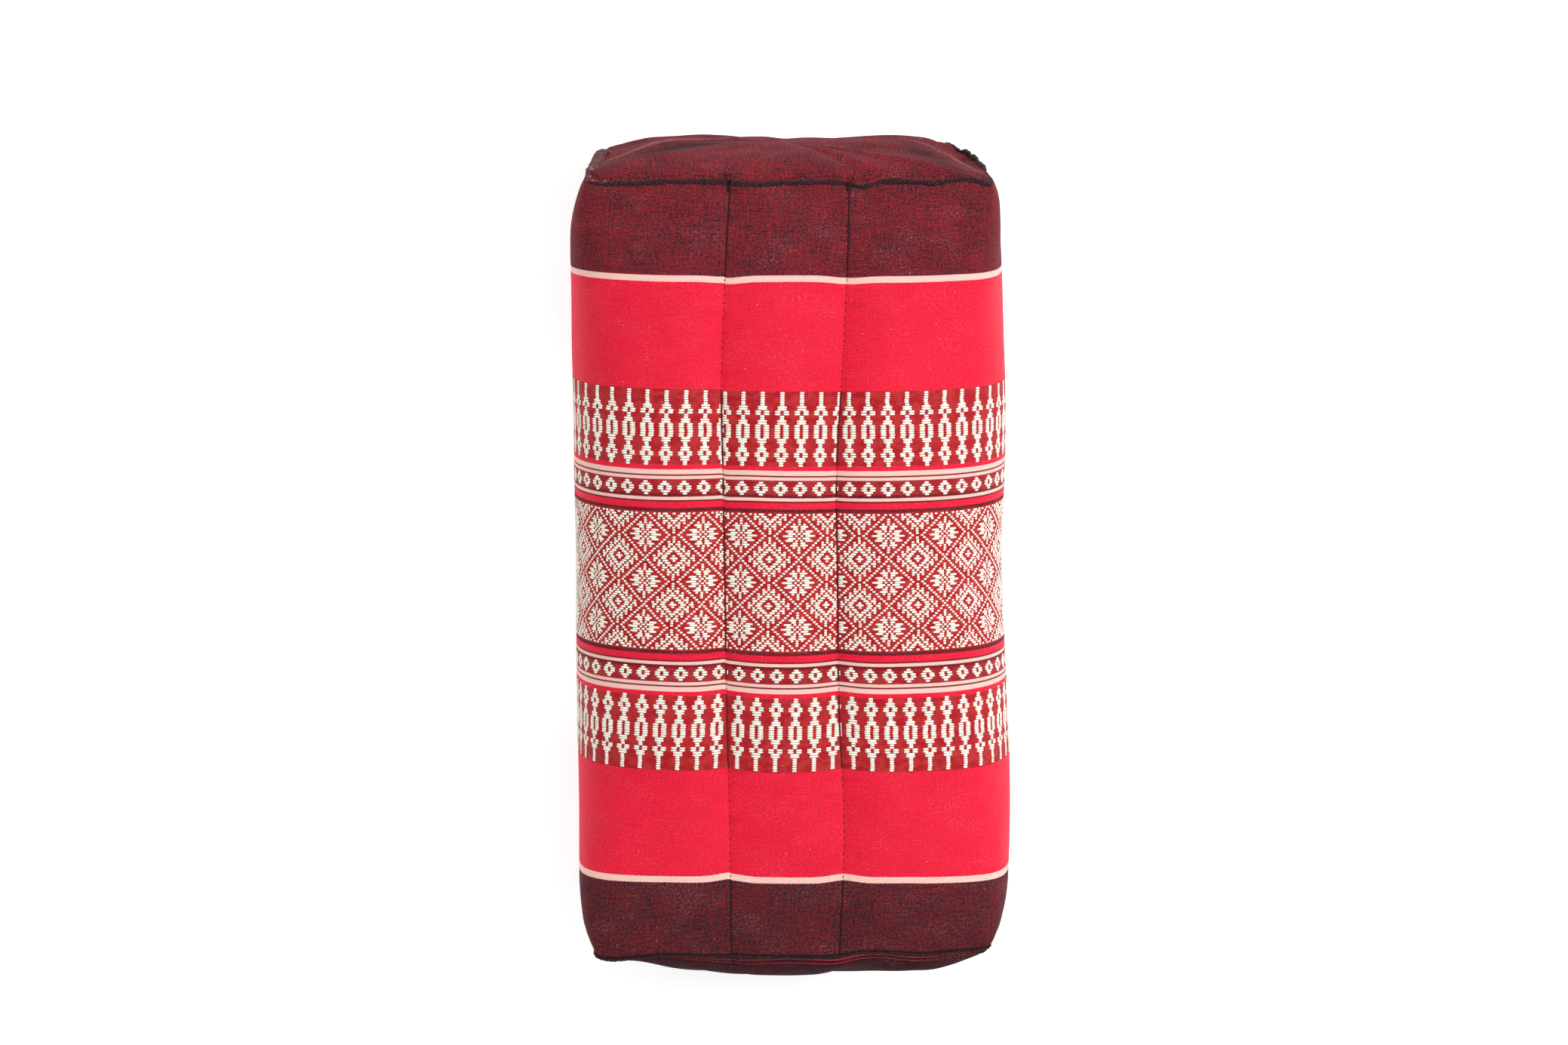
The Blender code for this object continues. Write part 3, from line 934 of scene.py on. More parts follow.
# A highlight painted on the ridge, and shade painted in the valley in front of it.
RIDGE_HIGHLIGHT, VALLEY_SHADE = 0.5, 0.7

# Painted shade: the middle of the foot panel is painted darker than its edge, most of all near the face.
FOOT_DARK = 0.45
FOOT_DARK_FROM_SEAM = (5.0, 22.0)
FOOT_DARK_HEIGHT = (40.0, 70.0)


def rim_of(wrap, end):
    """The wrap's edge at one end, and its outward direction in the plane of X and Z."""
    rim = wrap.points[-1 if end > 0 else 0]
    way = np.roll(rim, -1, axis=0) - np.roll(rim, 1, axis=0)
    outward = np.stack([way[:, 2], 0 * way[:, 0], -way[:, 0]], axis=1)
    return rim, unit(outward)


def ridge_distance(x, z):
    """How far each point lies from the ridge's line, and the ridge's share there."""
    line_x = np.linspace(RIDGE[0].x, RIDGE[-1].x, RIDGE_POINTS)
    line_z = table_column(RIDGE, "height", line_x)
    share = table_column(RIDGE, "share", line_x)
    away = np.hypot(x[:, :, None] - line_x, z[:, :, None] - line_z)
    nearest = np.argmin(away, axis=2)
    beside = np.take_along_axis(away, nearest[:, :, None], axis=2)[:, :, 0]
    return beside, share[nearest], line_z[nearest]


def end_profile(end):
    """An end panel's rows: distance along the cloth, distance in from the seam, lift and slopes."""
    crown = (HEAD_CROWN if end > 0 else FOOT_CROWN) - PANEL_LIFT
    rounding = HEAD_ROUNDING if end > 0 else FOOT_ROUNDING
    from_rim = np.linspace(0.0, 1.0, PROFILE_POINTS) ** 2 * (MIDDLE_HEIGHT - PROFILE_END)
    shares = 1 - from_rim / MIDDLE_HEIGHT
    edge = PANEL_LIFT * np.minimum(1.0, EDGE_RISE_STARTS + from_rim / EDGE_RISE_WIDTH)
    lifts = edge + crown * (1 - shares ** rounding) ** (1 / rounding)
    run = plane_run(from_rim, lifts)
    beside_seam = np.arange(0.0, EDGE_REACH, EDGE_STEP)
    away = np.concatenate([beside_seam, np.arange(EDGE_REACH, run[-1], INNER_STEP)])
    from_rim, lifts = np.interp(away, run, from_rim), np.interp(away, run, lifts)
    steps = np.hypot(np.gradient(from_rim), np.gradient(lifts))
    return away, from_rim, lifts, np.gradient(from_rim) / steps, np.gradient(lifts) / steps


def end_relief(end, x, z, away):
    """How far an end panel's cloth is raised, and how much highlight or shade is painted on it, at every
    point.
    """
    wear = 0 * x
    raised = 0 * x
    height = FOLD_EVEN + uneven("fold_height", x, z)
    if end < 0:
        height = height * (rise(z, *FOOT_FOLDS_HEIGHT) * rise(np.abs(x), *FOOT_FOLDS_ACROSS))
    for fold in EDGE_FOLDS[end]:
        place = fold.place + uneven("fold_place", x, z)
        shape = bell(away - place, fold.width) * height
        raised = raised + fold.height * shape
        wear = wear + fold.wear * shape
    inner = rise(away, *UNEVEN_FROM_SEAM)
    raised = raised + uneven("head_panel" if end > 0 else "foot_panel", x, z) * inner
    raised = raised + uneven("panel_edge", x, 0 * z) * inner * np.exp(-away / EDGE_FADE)
    if end > 0:
        beside, share, ridge_z = ridge_distance(x, z)
        in_front = np.where(z > ridge_z, beside, -beside)
        ridge = bell(beside, RIDGE_WIDTH) * share
        valley = bell(in_front - VALLEY_AT, VALLEY_WIDTH) * share
        raised = raised + (RIDGE_LIFT * ridge - VALLEY_DEPTH * valley) * rise(away, 0.0, RIDGE_STARTS)
        wear = wear + RIDGE_HIGHLIGHT * ridge - VALLEY_SHADE * valley
    else:
        # Painted shade in the middle of the foot panel, near the face.
        dark = rise(away, *FOOT_DARK_FROM_SEAM) * rise(z, *FOOT_DARK_HEIGHT)
        wear = wear - FOOT_DARK * dark
    return raised, wear


def end_piece(name, wrap, end, material):
    """One end panel, crowned by the filling, with the folds of its turned edge and a ridge across."""
    rim, outward = rim_of(wrap, end)
    rim = rim - outward * PANEL_INSET
    middle = rim.mean(axis=0)
    away, from_rim, lifts, slope_in, slope_out = end_profile(end)
    shares = 1 - from_rim / MIDDLE_HEIGHT
    points = middle + (rim - middle) * shares[:, None, None]
    x, z = points[:, :, 0], points[:, :, 2]
    away = away[:, None] + 0 * x
    raised, wear = end_relief(end, x, z, away)
    lift = lifts[:, None] + 0 * x
    for dent in DENTS:
        if dent.end == end:
            near = np.exp(-((x - dent.x) / dent.reach_x) ** 2 - ((z - dent.z) / dent.reach_z) ** 2)
            lift = lift - dent.depth * near * rise(away, 0.0, DENT_STARTS)
    points = points - unit(middle - rim) * (raised * slope_out[:, None])[:, :, None]
    points[:, :, 1] += end * (lift + raised * slope_in[:, None])
    rows, columns, _ = points.shape
    tip = points[-1].mean(axis=0) + np.array((0.0, end * TIP_OUT, 0.0))
    faces = faces_of_grid(rows, columns, closed=True)
    last = (rows - 1) * columns
    fan = np.array([(last + (i + 1) % columns, last + i, rows * columns) for i in range(columns)])
    if end > 0:
        faces, fan = faces[:, ::-1], fan[:, ::-1]
    to_tip = np.concatenate([points, np.broadcast_to(tip, (1, columns, 3))])
    steps = np.linalg.norm(np.diff(to_tip, axis=0), axis=2)
    run = np.cumsum(steps[::-1], axis=0)[::-1]
    spoke = unit((rim - middle)[:, [0, 2]])
    cloth = np.stack([run * spoke[:, 0], run * spoke[:, 1], wear], axis=-1).reshape(-1, 3)
    mesh = new_mesh(name, np.concatenate([points.reshape(-1, 3), tip[None]]), faces.tolist() + fan.tolist())
    set_point_values(mesh, "cloth", "FLOAT_VECTOR", np.concatenate([cloth, np.zeros((1, 3))]))
    return add_piece(name, mesh, material)


def resampled(path, step, closed=False):
    """A line of points at even steps, with how far along the line each lies."""
    if closed:
        path = np.concatenate([path, path[:1]])
    run = run_along(path[:, :3])
    places = np.linspace(0, run[-1], max(2, round(run[-1] / step)) + 1)
    if closed:
        places = places[:-1]
    return columns_at(places, run, path), places


def tube(path, first_way, second_way, first_radius, second_radius, closed=False):
    """Points and faces of a tube; the radii are given for every ring and every side."""
    rings, sides = first_radius.shape
    turn = np.linspace(0, 2 * math.pi, sides, endpoint=False)
    across = first_way[:, None] * (first_radius * np.cos(turn))[:, :, None]
    along = second_way[:, None] * (second_radius * np.sin(turn))[:, :, None]
    points = (path[:, None] + across + along).reshape(-1, 3)
    reach = rings if closed else rings - 1
    ring, side = np.meshgrid(np.arange(reach), np.arange(sides), indexing="ij")
    following, beside = (ring + 1) % rings, (side + 1) % sides
    here, ahead = ring * sides, following * sides
    corners = np.stack([here + side, here + beside, ahead + beside, ahead + side], axis=-1)
    faces = corners.reshape(-1, 4).tolist()
    if not closed:
        faces.append(list(range(sides))[::-1])
        faces.append([(rings - 1) * sides + i for i in range(sides)])
    return points, faces


def joined_mesh(name, parts):
    """One mesh of several lots of points and faces."""
    points, faces, start = [], [], 0
    for part_points, part_faces in parts:
        points.append(part_points)
        faces += [[start + corner for corner in face] for face in part_faces]
        start += len(part_points)
    return new_mesh(name, np.concatenate(points), faces)


# Overcast seams: black woolly yarn wound round the turned edges. The radii are for the face, for
# both sides and for elsewhere. The ring is moved outward and lifted along the cushion, and on the
# sides of the head end by amounts of their own. There the right side is ragged, and on the left
# the cloth's edge is smoother, flatter and left bare.
Seam = namedtuple(
    "Seam", "front left right elsewhere outward left_outward right_outward lift left_lift ragged"
)
SEAMS = {
    1: Seam(1.00, 1.9, 0.9, 0.65, 0.2, -2.2, -1.0, 0.7, 2.2, 0.20),
    -1: Seam(0.50, 0.8, 0.8, 0.9, 0.3, 0.3, 0.3, 0.1, 0.0, 0.15),
}
OVERCAST = 2.1
SEAM_STEP = 0.42
SEAM_SIDES = 12
WOUND, ROUGH, THINNEST = 0.20, 0.2, 0.35
SMOOTHER_AT_LEFT, FLATTER_AT_LEFT = 0.7, 0.35
SEAM_ON_FACE = (96.0, 108.0)
SEAM_AT_SIDE = (60.0, 76.0)
SEAM_OFF_BACK = (14.0, 40.0)
BARE_HEIGHT = (38.0, 48.0)
BARE_AT_SIDE = (72.0, 79.0)
BARE_ALL_ROUND_TO = 108.0
BARE_ON_FACE = 0.3


def seam_piece(name, wrap, end, material):
    """One end seam: a ring of overcast yarn, thicker or thinner from side to side."""
    seam = SEAMS[end]
    rim, outward = rim_of(wrap, end)
    row, run = resampled(np.concatenate([rim, outward], axis=1), SEAM_STEP, closed=True)
    rim, outward = row[:, :3], unit(row[:, 3:])
    along = np.broadcast_to(np.array((0.0, float(end), 0.0)), rim.shape)
    angle = np.linspace(0, 2 * math.pi, SEAM_SIDES, endpoint=False)[None, :]
    place = run[:, None]
    x, z = rim[:, 0], rim[:, 2]
    on_face = rise(z, *SEAM_ON_FACE)
    at_side = rise(np.abs(x), *SEAM_AT_SIDE) * (1 - on_face) * rise(z, *SEAM_OFF_BACK)
    at_left, at_right = at_side * (x < 0), at_side * (x > 0)

    def by_side(elsewhere, left, right):
        return elsewhere + (left - elsewhere) * at_left + (right - elsewhere) * at_right

    shift = by_side(seam.outward, seam.left_outward, seam.right_outward)
    path = rim + outward * shift[:, None] + along * (seam.lift + seam.left_lift * at_left)[:, None]
    ragged = seam.ragged * at_right[:, None]
    evenness = 1 - SMOOTHER_AT_LEFT * at_left[:, None]
    turns = 2 * math.pi * place / OVERCAST + angle + uneven("winding", place, 0 * place)
    rough = uneven("yarn_fine", place, angle) + uneven("yarn_broad", place, 0 * place)
    rough = (ROUGH * evenness + ragged) * rough
    size = by_side(seam.elsewhere, seam.left, seam.right) + (seam.front - seam.elsewhere) * on_face
    radius = size[:, None] * np.maximum(1 + WOUND * evenness * np.sin(turns) + rough, THINNEST)
    flat = 1 + FLATTER_AT_LEFT * at_left[:, None]
    points, faces = tube(path, outward, along, radius * flat, radius / flat, closed=True)
    if end < 0:
        faces = [face[::-1] for face in faces]
    mesh = joined_mesh(name, [(points, faces)])
    left = rise(-x, *BARE_AT_SIDE) * rise(z, *BARE_HEIGHT) * (end > 0)
    facing_out = np.clip(BARE_ON_FACE + np.sin(angle + 0 * place), 0, 1)
    bare = left[:, None] * np.where(z[:, None] > BARE_ALL_ROUND_TO, facing_out, 1.0)
    set_point_values(mesh, "bare", "FLOAT", bare)
    piece = add_piece(name, mesh, material)
    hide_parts(f"{'head' if end > 0 else 'foot'}_end_seam")
    return piece


# Channel stitches: a tiny dark bar at each prick of the needle, uneven in length, slant and size.
STITCHES_END = 2.5
STITCH_SEED = 51
STITCH_LENGTH = 0.8
STITCH_UNEVEN = (0.8, 1.2)
STITCH_SLANT = 0.14
STITCH_THICKNESS = (0.85, 1.2)
STITCH_LIFT = 0.12
STITCH_FLAT = 0.9
STITCH_RADIUS = 0.2
STITCH_SIDES = 6
STITCH_RINGS = np.array((0.0, 0.22, 0.5, 0.78, 1.0))
STITCH_SIZES = np.array((0.35, 0.95, 1.0, 0.95, 0.35))


def line_column(wrap, line):
    """The wrap's column that lies in one of the sewn lines."""
    return int(np.argmin(np.abs(wrap.arounds - line)))


def stitches_piece(name, wrap, lines, material):
    """The stitches of the sewn lines on one half of the wrap."""
    random = np.random.default_rng(STITCH_SEED)
    parts = []
    places = np.arange(-SEAM_AT + STITCHES_END, SEAM_AT - STITCHES_END, STITCH)
    from_middle = STITCH_RINGS * 2 - 1
    for line in lines:
        column = line_column(wrap, line)
        route, normal = wrap.points[:, column], wrap.normals[:, column]
        for place in places:
            half = STITCH_LENGTH * random.uniform(*STITCH_UNEVEN) / 2
            at = place + from_middle * half
            path = columns_at(at, wrap.alongs, route)
            up = unit(columns_at(at, wrap.alongs, normal))
            side = unit(np.cross(np.array((0.0, 1.0, 0.0)), up))
            slant = random.normal(0, STITCH_SLANT)
            path = path + side * (slant * from_middle)[:, None] + up * STITCH_LIFT
            radii = STITCH_RADIUS * STITCH_SIZES * random.uniform(*STITCH_THICKNESS)
            size = np.repeat(radii[:, None], STITCH_SIDES, axis=1)
            parts.append(tube(path, side, up, size, size * STITCH_FLAT))
    return add_piece(name, joined_mesh(name, parts), material)


# Ends of the channel threads, left long over the head seam.
TAILS = table(
    "line points",
    ("left", ((-0.4, -3.2, 0.6), (0.0, -0.6, 1.9), (0.9, 1.2, 2.6), (0.3, 3.0, 2.6), (-0.9, 5.2, 1.9))),
    ("right", ((-0.6, -2.6, 0.6), (-0.3, -0.4, 1.9), (0.5, 1.6, 2.6), (1.5, 3.4, 2.6), (2.4, 5.4, 1.7))),
)
TAIL_RADIUS = 0.6
TAIL_STEP = 0.35
TAIL_SIDES = 7
TAIL_PASSES = 4
TAIL_START, TAIL_THINS = 1.1, 0.4


def tails_piece(name, wrap, material):
    """The loose ends of both channel threads of the face."""
    parts = []
    for tail in TAILS:
        column = line_column(wrap, LINE_LEFT if tail.line == "left" else LINE_RIGHT)
        path, run = resampled(np.array(tail.points) + wrap.points[-1, column], TAIL_STEP)
        path = smoothed(path, TAIL_PASSES, 0, closed=False)
        taper = TAIL_RADIUS * (TAIL_START - TAIL_THINS * run / run[-1])[:, None]
        size = taper * (1 + uneven("tail", run[:, None], np.arange(TAIL_SIDES)[None, :]))
        side = np.broadcast_to(np.array((1.0, 0.0, 0.0)), path.shape)
        up = np.broadcast_to(np.array((0.0, 0.0, 1.0)), path.shape)
        parts.append(tube(path, side, up, size, size))
    return add_piece(name, joined_mesh(name, parts), material)


class Value:
    """A value inside a node material; a sum or product of such values makes the nodes for it."""

    def __init__(self, shader, socket):
        self.shader = shader
        self.socket = socket

    def __add__(self, other):
        return self.shader.math("ADD", self, other)

    def __sub__(self, other):
        return self.shader.math("SUBTRACT", self, other)

    def __rsub__(self, other):
        return self.shader.math("SUBTRACT", other, self)

    def __mul__(self, other):
        return self.shader.math("MULTIPLY", self, other)

    def __truediv__(self, other):
        return self.shader.math("DIVIDE", self, other)

    __radd__ = __add__
    __rmul__ = __mul__


SURFACE_INPUTS = {
    "colour": "Base Color",
    "roughness": "Roughness",
    "normal": "Normal",
    "sheen": "Sheen Weight",
    "sheen_roughness": "Sheen Roughness",
    "sheen_tint": "Sheen Tint",
    "specular": "Specular IOR Level",
    "glow": "Emission Strength",
    "glow_colour": "Emission Color",
}


class Shader:
    """Short calls for building a node material."""

    def __init__(self, name):
        self.material = bpy.data.materials.new(name)
        self.material.use_nodes = True
        self.tree = self.material.node_tree

    def feed(self, socket, value):
        if isinstance(value, Value):
            self.tree.links.new(value.socket, socket)
        elif isinstance(value, tuple):
            socket.default_value = (*value, 1.0)
        else:
            socket.default_value = value

    def node(self, kind, inputs, **settings):
        node = self.tree.nodes.new(kind)
        for name, value in settings.items():
            setattr(node, name, value)
        for name, value in inputs.items():
            self.feed(node.inputs[name], value)
        return node

    def value(self, kind, inputs, output=0, **settings):
        """One output of a new node."""
        return Value(self, self.node(kind, inputs, **settings).outputs[output])

    def math(self, operation, *values):
        return self.value("ShaderNodeMath", dict(enumerate(values)), operation=operation)

    def step(self, value, start, end):
        """0 up to start and 1 from end on, with a smooth rise between."""
        inputs = {"Value": value, "From Min": start, "From Max": end}
        return self.value("ShaderNodeMapRange", inputs, "Result", interpolation_type="SMOOTHSTEP")

    def mix(self, share, first, second, blend="MIX"):
        inputs = {0: share, 6: first, 7: second}
        return self.value("ShaderNodeMix", inputs, 2, data_type="RGBA", blend_type=blend)

    def vector(self, x, y, z=0.0):
        return self.value("ShaderNodeCombineXYZ", {0: x, 1: y, 2: z})

    def attribute(self, name, output="Fac"):
        return self.value("ShaderNodeAttribute", {}, output, attribute_name=name)

    def noise(self, vector, scale=1.0, detail=2.0):
        inputs = {"Vector": vector, "Scale": scale, "Detail": detail}
        return self.value("ShaderNodeTexNoise", inputs, "Fac")

    def object_place(self):
        return self.value("ShaderNodeTexCoord", {}, "Object")

    def bump(self, height, distance):
        return self.value("ShaderNodeBump", {"Distance": distance * MM, "Height": height})

    def finish(self, **values):
        """The material, with these values on its surface."""
        surface = self.tree.nodes["Principled BSDF"]
        for name, value in values.items():
            self.feed(surface.inputs[SURFACE_INPUTS[name]], value)
        return self.material


# Noises of the cloth: their pace across and along it per millimetre, their seed and their detail.
# Lint and glint show where such a noise is high.
Grain = namedtuple("Grain", "by_u by_v seed detail shows", defaults=((0.0, 1.0),))
GRAINS = {
    "slubs_warp": Grain(2.2, 0.10, 0.0, 2.0),
    "slubs_weft": Grain(0.10, 1.9, 5.0, 2.0),
    "slubs_cloud": Grain(0.05, 0.05, 9.0, 2.0),
    "band_edge": Grain(1.3, 1.3, 1.0, 2.0),
    "ground_patches": Grain(0.22, 0.35, 7.0, 2.0),
    "plain_fine": Grain(1.6, 1.6, 2.0, 3.0),
    "plain_patches": Grain(0.06, 0.09, 25.0, 2.0, (0.40, 0.75)),
    "plain_lint": Grain(0.8, 1.7, 28.0, 4.0, (0.50, 0.76)),
    "plain_glint": Grain(1.2, 1.2, 36.0, 1.0, (0.42, 0.75)),
    "shot_fine": Grain(1.0, 1.0, 3.0, 3.0),
    "shot_cloud": Grain(0.09, 0.07, 14.0, 2.0),
    "shot_patches": Grain(0.05, 0.08, 21.0, 2.0, (0.45, 0.75)),
    "shot_lint": Grain(0.9, 1.6, 9.0, 4.0, (0.50, 0.72)),
    "shot_glint": Grain(1.2, 1.2, 33.0, 1.0, (0.42, 0.70)),
}
SLUBS_SIZE, SLUBS_CLOUD, SLUBS_OFFSET = 0.36, 0.4, 0.068
SHOT_SLUBS_SEED = 40.0

# Pale lint, and a glint painted as a highlight, stronger on the weave's dots of warp.
Lint = namedtuple("Lint", "lint glint more_on_dots dots")
LINTS = {"plain": Lint(0.28, 0.06, 0.06, (0.0, 1.0)), "shot": Lint(0.26, 0.03, 0.06, (-0.2, 0.8))}

# Threads that show on the ground between the floats: where in the wave of the rows and in which
# patches, how strongly, and in what colour.
GROUND_THREADS = table(
    "wave patches share colour",
    ((0.0, 0.5), (0.30, 0.56), 0.85, (0.08, 0.005, 0.010)),
    ((-0.05, -0.6), None, 0.55, (0.76, 0.03, 0.06)),
    ((-0.25, -0.8), (0.62, 0.42), 0.38, (0.78, 0.32, 0.28)),
)
PINK_DOTS = (-0.45, 0.35)
PINK_DOTS_SHIFT = 0.4
GROUND_SHIFT = 0.7

# How much each kind of unevenness tells in plain cloth's tone and in the share of warp that shows
# in shot cloth, and the tone or share without any.
PLAIN_SLUBS, PLAIN_WEAVE, PLAIN_FINE, PLAIN_TONE = 1.1, 0.09, 0.3, 0.97
SHOT_UNEVEN, SHOT_WEAVE, SHOT_FINE, SHOT_CLOUD, SHOT_SHARE = 3.0, 0.40, 1.7, 0.36, 0.41
# Where shade is painted on shot cloth, its unevenness is evened out by this much.
SHADE_EVENS_OUT = 2.2
EDGE_RAGGED = 0.3

# Where painted shade shows in the crease beside a sewn line, and how much: anywhere, in dark bands and on the
# ground.
CREASE = (0.55, 0.14)
CREASE_ANYWHERE, CREASE_IN_DARK, CREASE_ON_GROUND = 0.20, 0.74, 0.62

# Woolly yarn: where fuzz shows, where bare cloth shows, and where a highlight is painted on that cloth.
FUZZ_SHOWS = (0.35, 0.8)
BARE_SHOWS = (0.36, 0.42)
HIGHLIGHT_SHOWS = (0.50, 0.72)

# The plain weave's dots, the zigzag edges of the bands, and how far the bands' teeth reach.
WEAVE = 1.0
WEAVE_LEANING, WEAVE_CROSSING = 0.58, 0.42
ZIGZAG = 1.0
TOOTH = 0.14

# Painted shade: how much less red the shot cloth is painted at the wrap's foot end and in the foot panel.
# It is full this far from the lattice's middle on the foot's side. Both panels look coarser by a share.
FOOT_END_SHADE = 0.165
FOOT_PANEL_SHADE = 0.30
SHADE_REACH = 120.0
PANEL_GRAIN = 1.4

# Fluff: how many specks there are along a millimetre, their size, and how strongly their colour
# shows. Only those with a high number are kept.
FLUFF_PACE, FLUFF_SIZE, FLUFF_SHARE = 0.42, 0.09, 0.7
FLUFF_KEPT = (0.90, 0.93)

# How far the relief of the cloth and the yarns stands out, in millimetres for a height of 1.
BUMP, BUMP_YARN = 0.05, 0.15
BUMP_WEAVE, BUMP_SLUBS, BUMP_CREAM = 0.5, 2.0, 1.5

# The yarns' fibres: their pace per metre, and how much they and each float's own shade tell.
FLOAT_FIBRES, SEAM_FUZZ, SEAM_COARSE = 2200.0, 1400.0, 420.0
FLOAT_SHADE_SHARE, FLOAT_FIBRE_SHARE = 0.10, 0.12


class ClothShader(Shader):
    """A shader that knows each point's thread coordinates and the value kept beside them."""

    def __init__(self, name):
        super().__init__(name)
        apart = self.node("ShaderNodeSeparateXYZ", {0: self.attribute("cloth", "Vector")})
        self.u, self.v, self.kept = (Value(self, output) for output in apart.outputs)
        leaning = self.thread_wave(self.u - self.v, WEAVE, math.pi / 2)
        crossing = self.thread_wave(self.u + self.v, WEAVE, math.pi / 2)
        self.weave = WEAVE_LEANING * leaning - WEAVE_CROSSING * crossing

    def thread_wave(self, place, period, shift=0.0):
        """A wave along one way of the cloth, from -1 to 1."""
        return self.math("SINE", place * (2 * math.pi / period) + shift)

    def grain(self, name, seed=0.0):
        grain = GRAINS[name]
        place = self.vector(self.u * grain.by_u, self.v * grain.by_v, grain.seed + seed)
        return self.noise(place, detail=grain.detail)

    def shows(self, name):
        """Where a noise is high."""
        return self.step(self.grain(name), *GRAINS[name].shows)

    def lint(self, kind, grain=1.0):
        """How much pale lint and painted glint highlight shows in plain or in shot cloth."""
        look = LINTS[kind]
        on_dots = look.more_on_dots * self.step(self.weave, *look.dots) + look.glint
        lint = look.lint * self.shows(f"{kind}_lint") * self.shows(f"{kind}_patches")
        return grain * self.shows(f"{kind}_glint") * on_dots + lint

    def slubs(self, seed=0.0):
        """Uneven thickness of warp and weft: long thin streaks both ways, around 0.5."""
        threads = self.grain("slubs_warp", seed) + self.grain("slubs_weft", seed)
        return SLUBS_SIZE * (threads + SLUBS_CLOUD * self.grain("slubs_cloud", seed)) + SLUBS_OFFSET

    def banded(self, place, colours):
        """The colour of each kind of band, black where none is given."""
        node = self.node("ShaderNodeValToRGB", {0: place})
        node.color_ramp.interpolation = "CONSTANT"
        elements = node.color_ramp.elements
        while len(elements) < len(BANDS):
            elements.new(0.5)
        start = 0.0
        for element, band in zip(elements, BANDS):
            element.position = start / LAST_BAND
            element.color = (*colours.get(band.kind, (0.0, 0.0, 0.0)), 1.0)
            start = band.until
        return Value(self, node.outputs[0])

    def fluff(self):
        """Small round specks here and there."""
        inputs = {"Vector": self.vector(self.u, self.v), "Scale": FLUFF_PACE}
        node = self.node("ShaderNodeTexVoronoi", inputs)
        number = self.value("ShaderNodeSeparateColor", {0: Value(self, node.outputs["Color"])})
        near = self.step(Value(self, node.outputs["Distance"]), FLUFF_SIZE, FLUFF_SIZE / 2)
        return near * self.step(number, *FLUFF_KEPT)


def shot_colour(cloth, foot_shade, grain=1.0):
    """Plain weave of a bright warp and a near-black weft; less warp shows where shade is painted on it."""
    uneven_warp = SHOT_UNEVEN * (cloth.slubs(SHOT_SLUBS_SEED) - 0.5) + SHOT_WEAVE * cloth.weave
    uneven_warp = uneven_warp + SHOT_FINE * (cloth.grain("shot_fine") - 0.5)
    uneven_warp = uneven_warp + SHOT_CLOUD * (cloth.grain("shot_cloud") - 0.5)
    warp = uneven_warp * (grain - SHADE_EVENS_OUT * grain * foot_shade) + (SHOT_SHARE - foot_shade)
    return cloth.mix(cloth.lint("shot", grain), cloth.mix(warp, SHOT_WEFT, SHOT_WARP), DUST_AND_GLINT)


def plain_colour(cloth, base, slubs):
    """The red and dark bands: a plain weave in the band's colour, with pale lint and a painted glint."""
    tone = PLAIN_SLUBS * (slubs - 0.5) + PLAIN_WEAVE * cloth.weave + PLAIN_TONE
    tone = tone + PLAIN_FINE * (cloth.grain("plain_fine") - 0.5)
    plain = cloth.mix(1.0, base, cloth.vector(tone, tone, tone), "MULTIPLY")
    return cloth.mix(cloth.lint("plain"), plain, PINK_LINT_AND_GLINT)


def ground_colour(cloth, colour):
    """The ground between the floats, where dark and pinkish threads show in rows."""
    dots = cloth.thread_wave(cloth.u, UNIT * 2, GROUND_SHIFT) * cloth.thread_wave(cloth.v, PITCH)
    patches = cloth.grain("ground_patches")
    for thread in GROUND_THREADS:
        share = thread.share * cloth.step(dots, *thread.wave)
        if thread.patches:
            share = share * cloth.step(patches, *thread.patches)
        colour = cloth.mix(share, colour, thread.colour)
    return colour


def patterned_cloth():
    """The wrap's cloth: woven bands with zigzag edges, shot ends, streaks, lint, a painted glint, shade
    painted toward the foot and in creases, and sheen.
    """
    cloth = ClothShader("patterned_cloth")
    zigzag = cloth.math("PINGPONG", cloth.u, ZIGZAG / 2) * (4 * TOOTH / ZIGZAG) - TOOTH
    edge = zigzag + EDGE_RAGGED * (cloth.grain("band_edge") - 0.5)
    place = (cloth.math("ABSOLUTE", cloth.v) + edge) / LAST_BAND
    base = cloth.banded(place, COLOURS)
    is_ground = cloth.banded(place, dict.fromkeys(("ground", "dark_ground"), WHITE))
    is_cream = cloth.banded(place, {"cream": WHITE})
    is_shot = cloth.banded(place, dict.fromkeys(("shot", "dark"), WHITE))

    slubs = cloth.slubs()
    # Painted shade: the shot cloth is painted darker toward the foot end.
    foot_shade = FOOT_END_SHADE * cloth.step(cloth.v, SHADE_REACH, -SHADE_REACH)
    colour = cloth.mix(is_shot, plain_colour(cloth, base, slubs), shot_colour(cloth, foot_shade))
    colour = cloth.mix(is_ground, colour, ground_colour(cloth, base))
    pink = cloth.thread_wave(cloth.u, ZIGZAG) * cloth.thread_wave(cloth.v, ZIGZAG, PINK_DOTS_SHIFT)
    dotted = cloth.mix(cloth.step(pink, *PINK_DOTS), COLOURS["cream"], PINK_DOT)
    colour = cloth.mix(is_cream, colour, dotted)
    colour = cloth.mix(FLUFF_SHARE * cloth.fluff(), colour, FLUFF)
    # Painted shade in the crease beside each sewn line and beside the foot seam.
    crease_shade = CREASE_IN_DARK * is_shot + CREASE_ON_GROUND * is_ground + CREASE_ANYWHERE
    colour = cloth.mix(cloth.step(cloth.kept, *CREASE) * crease_shade, colour, LINE_SHADE)

    height = BUMP_WEAVE * cloth.weave + BUMP_SLUBS * slubs + BUMP_CREAM * is_cream
    return cloth.finish(
        colour=colour, roughness=0.24 * is_shot + 0.68, normal=cloth.bump(height, BUMP), specular=0.12,
        sheen=0.03, sheen_roughness=0.4, sheen_tint=(1.0, 0.62, 0.62),
    )


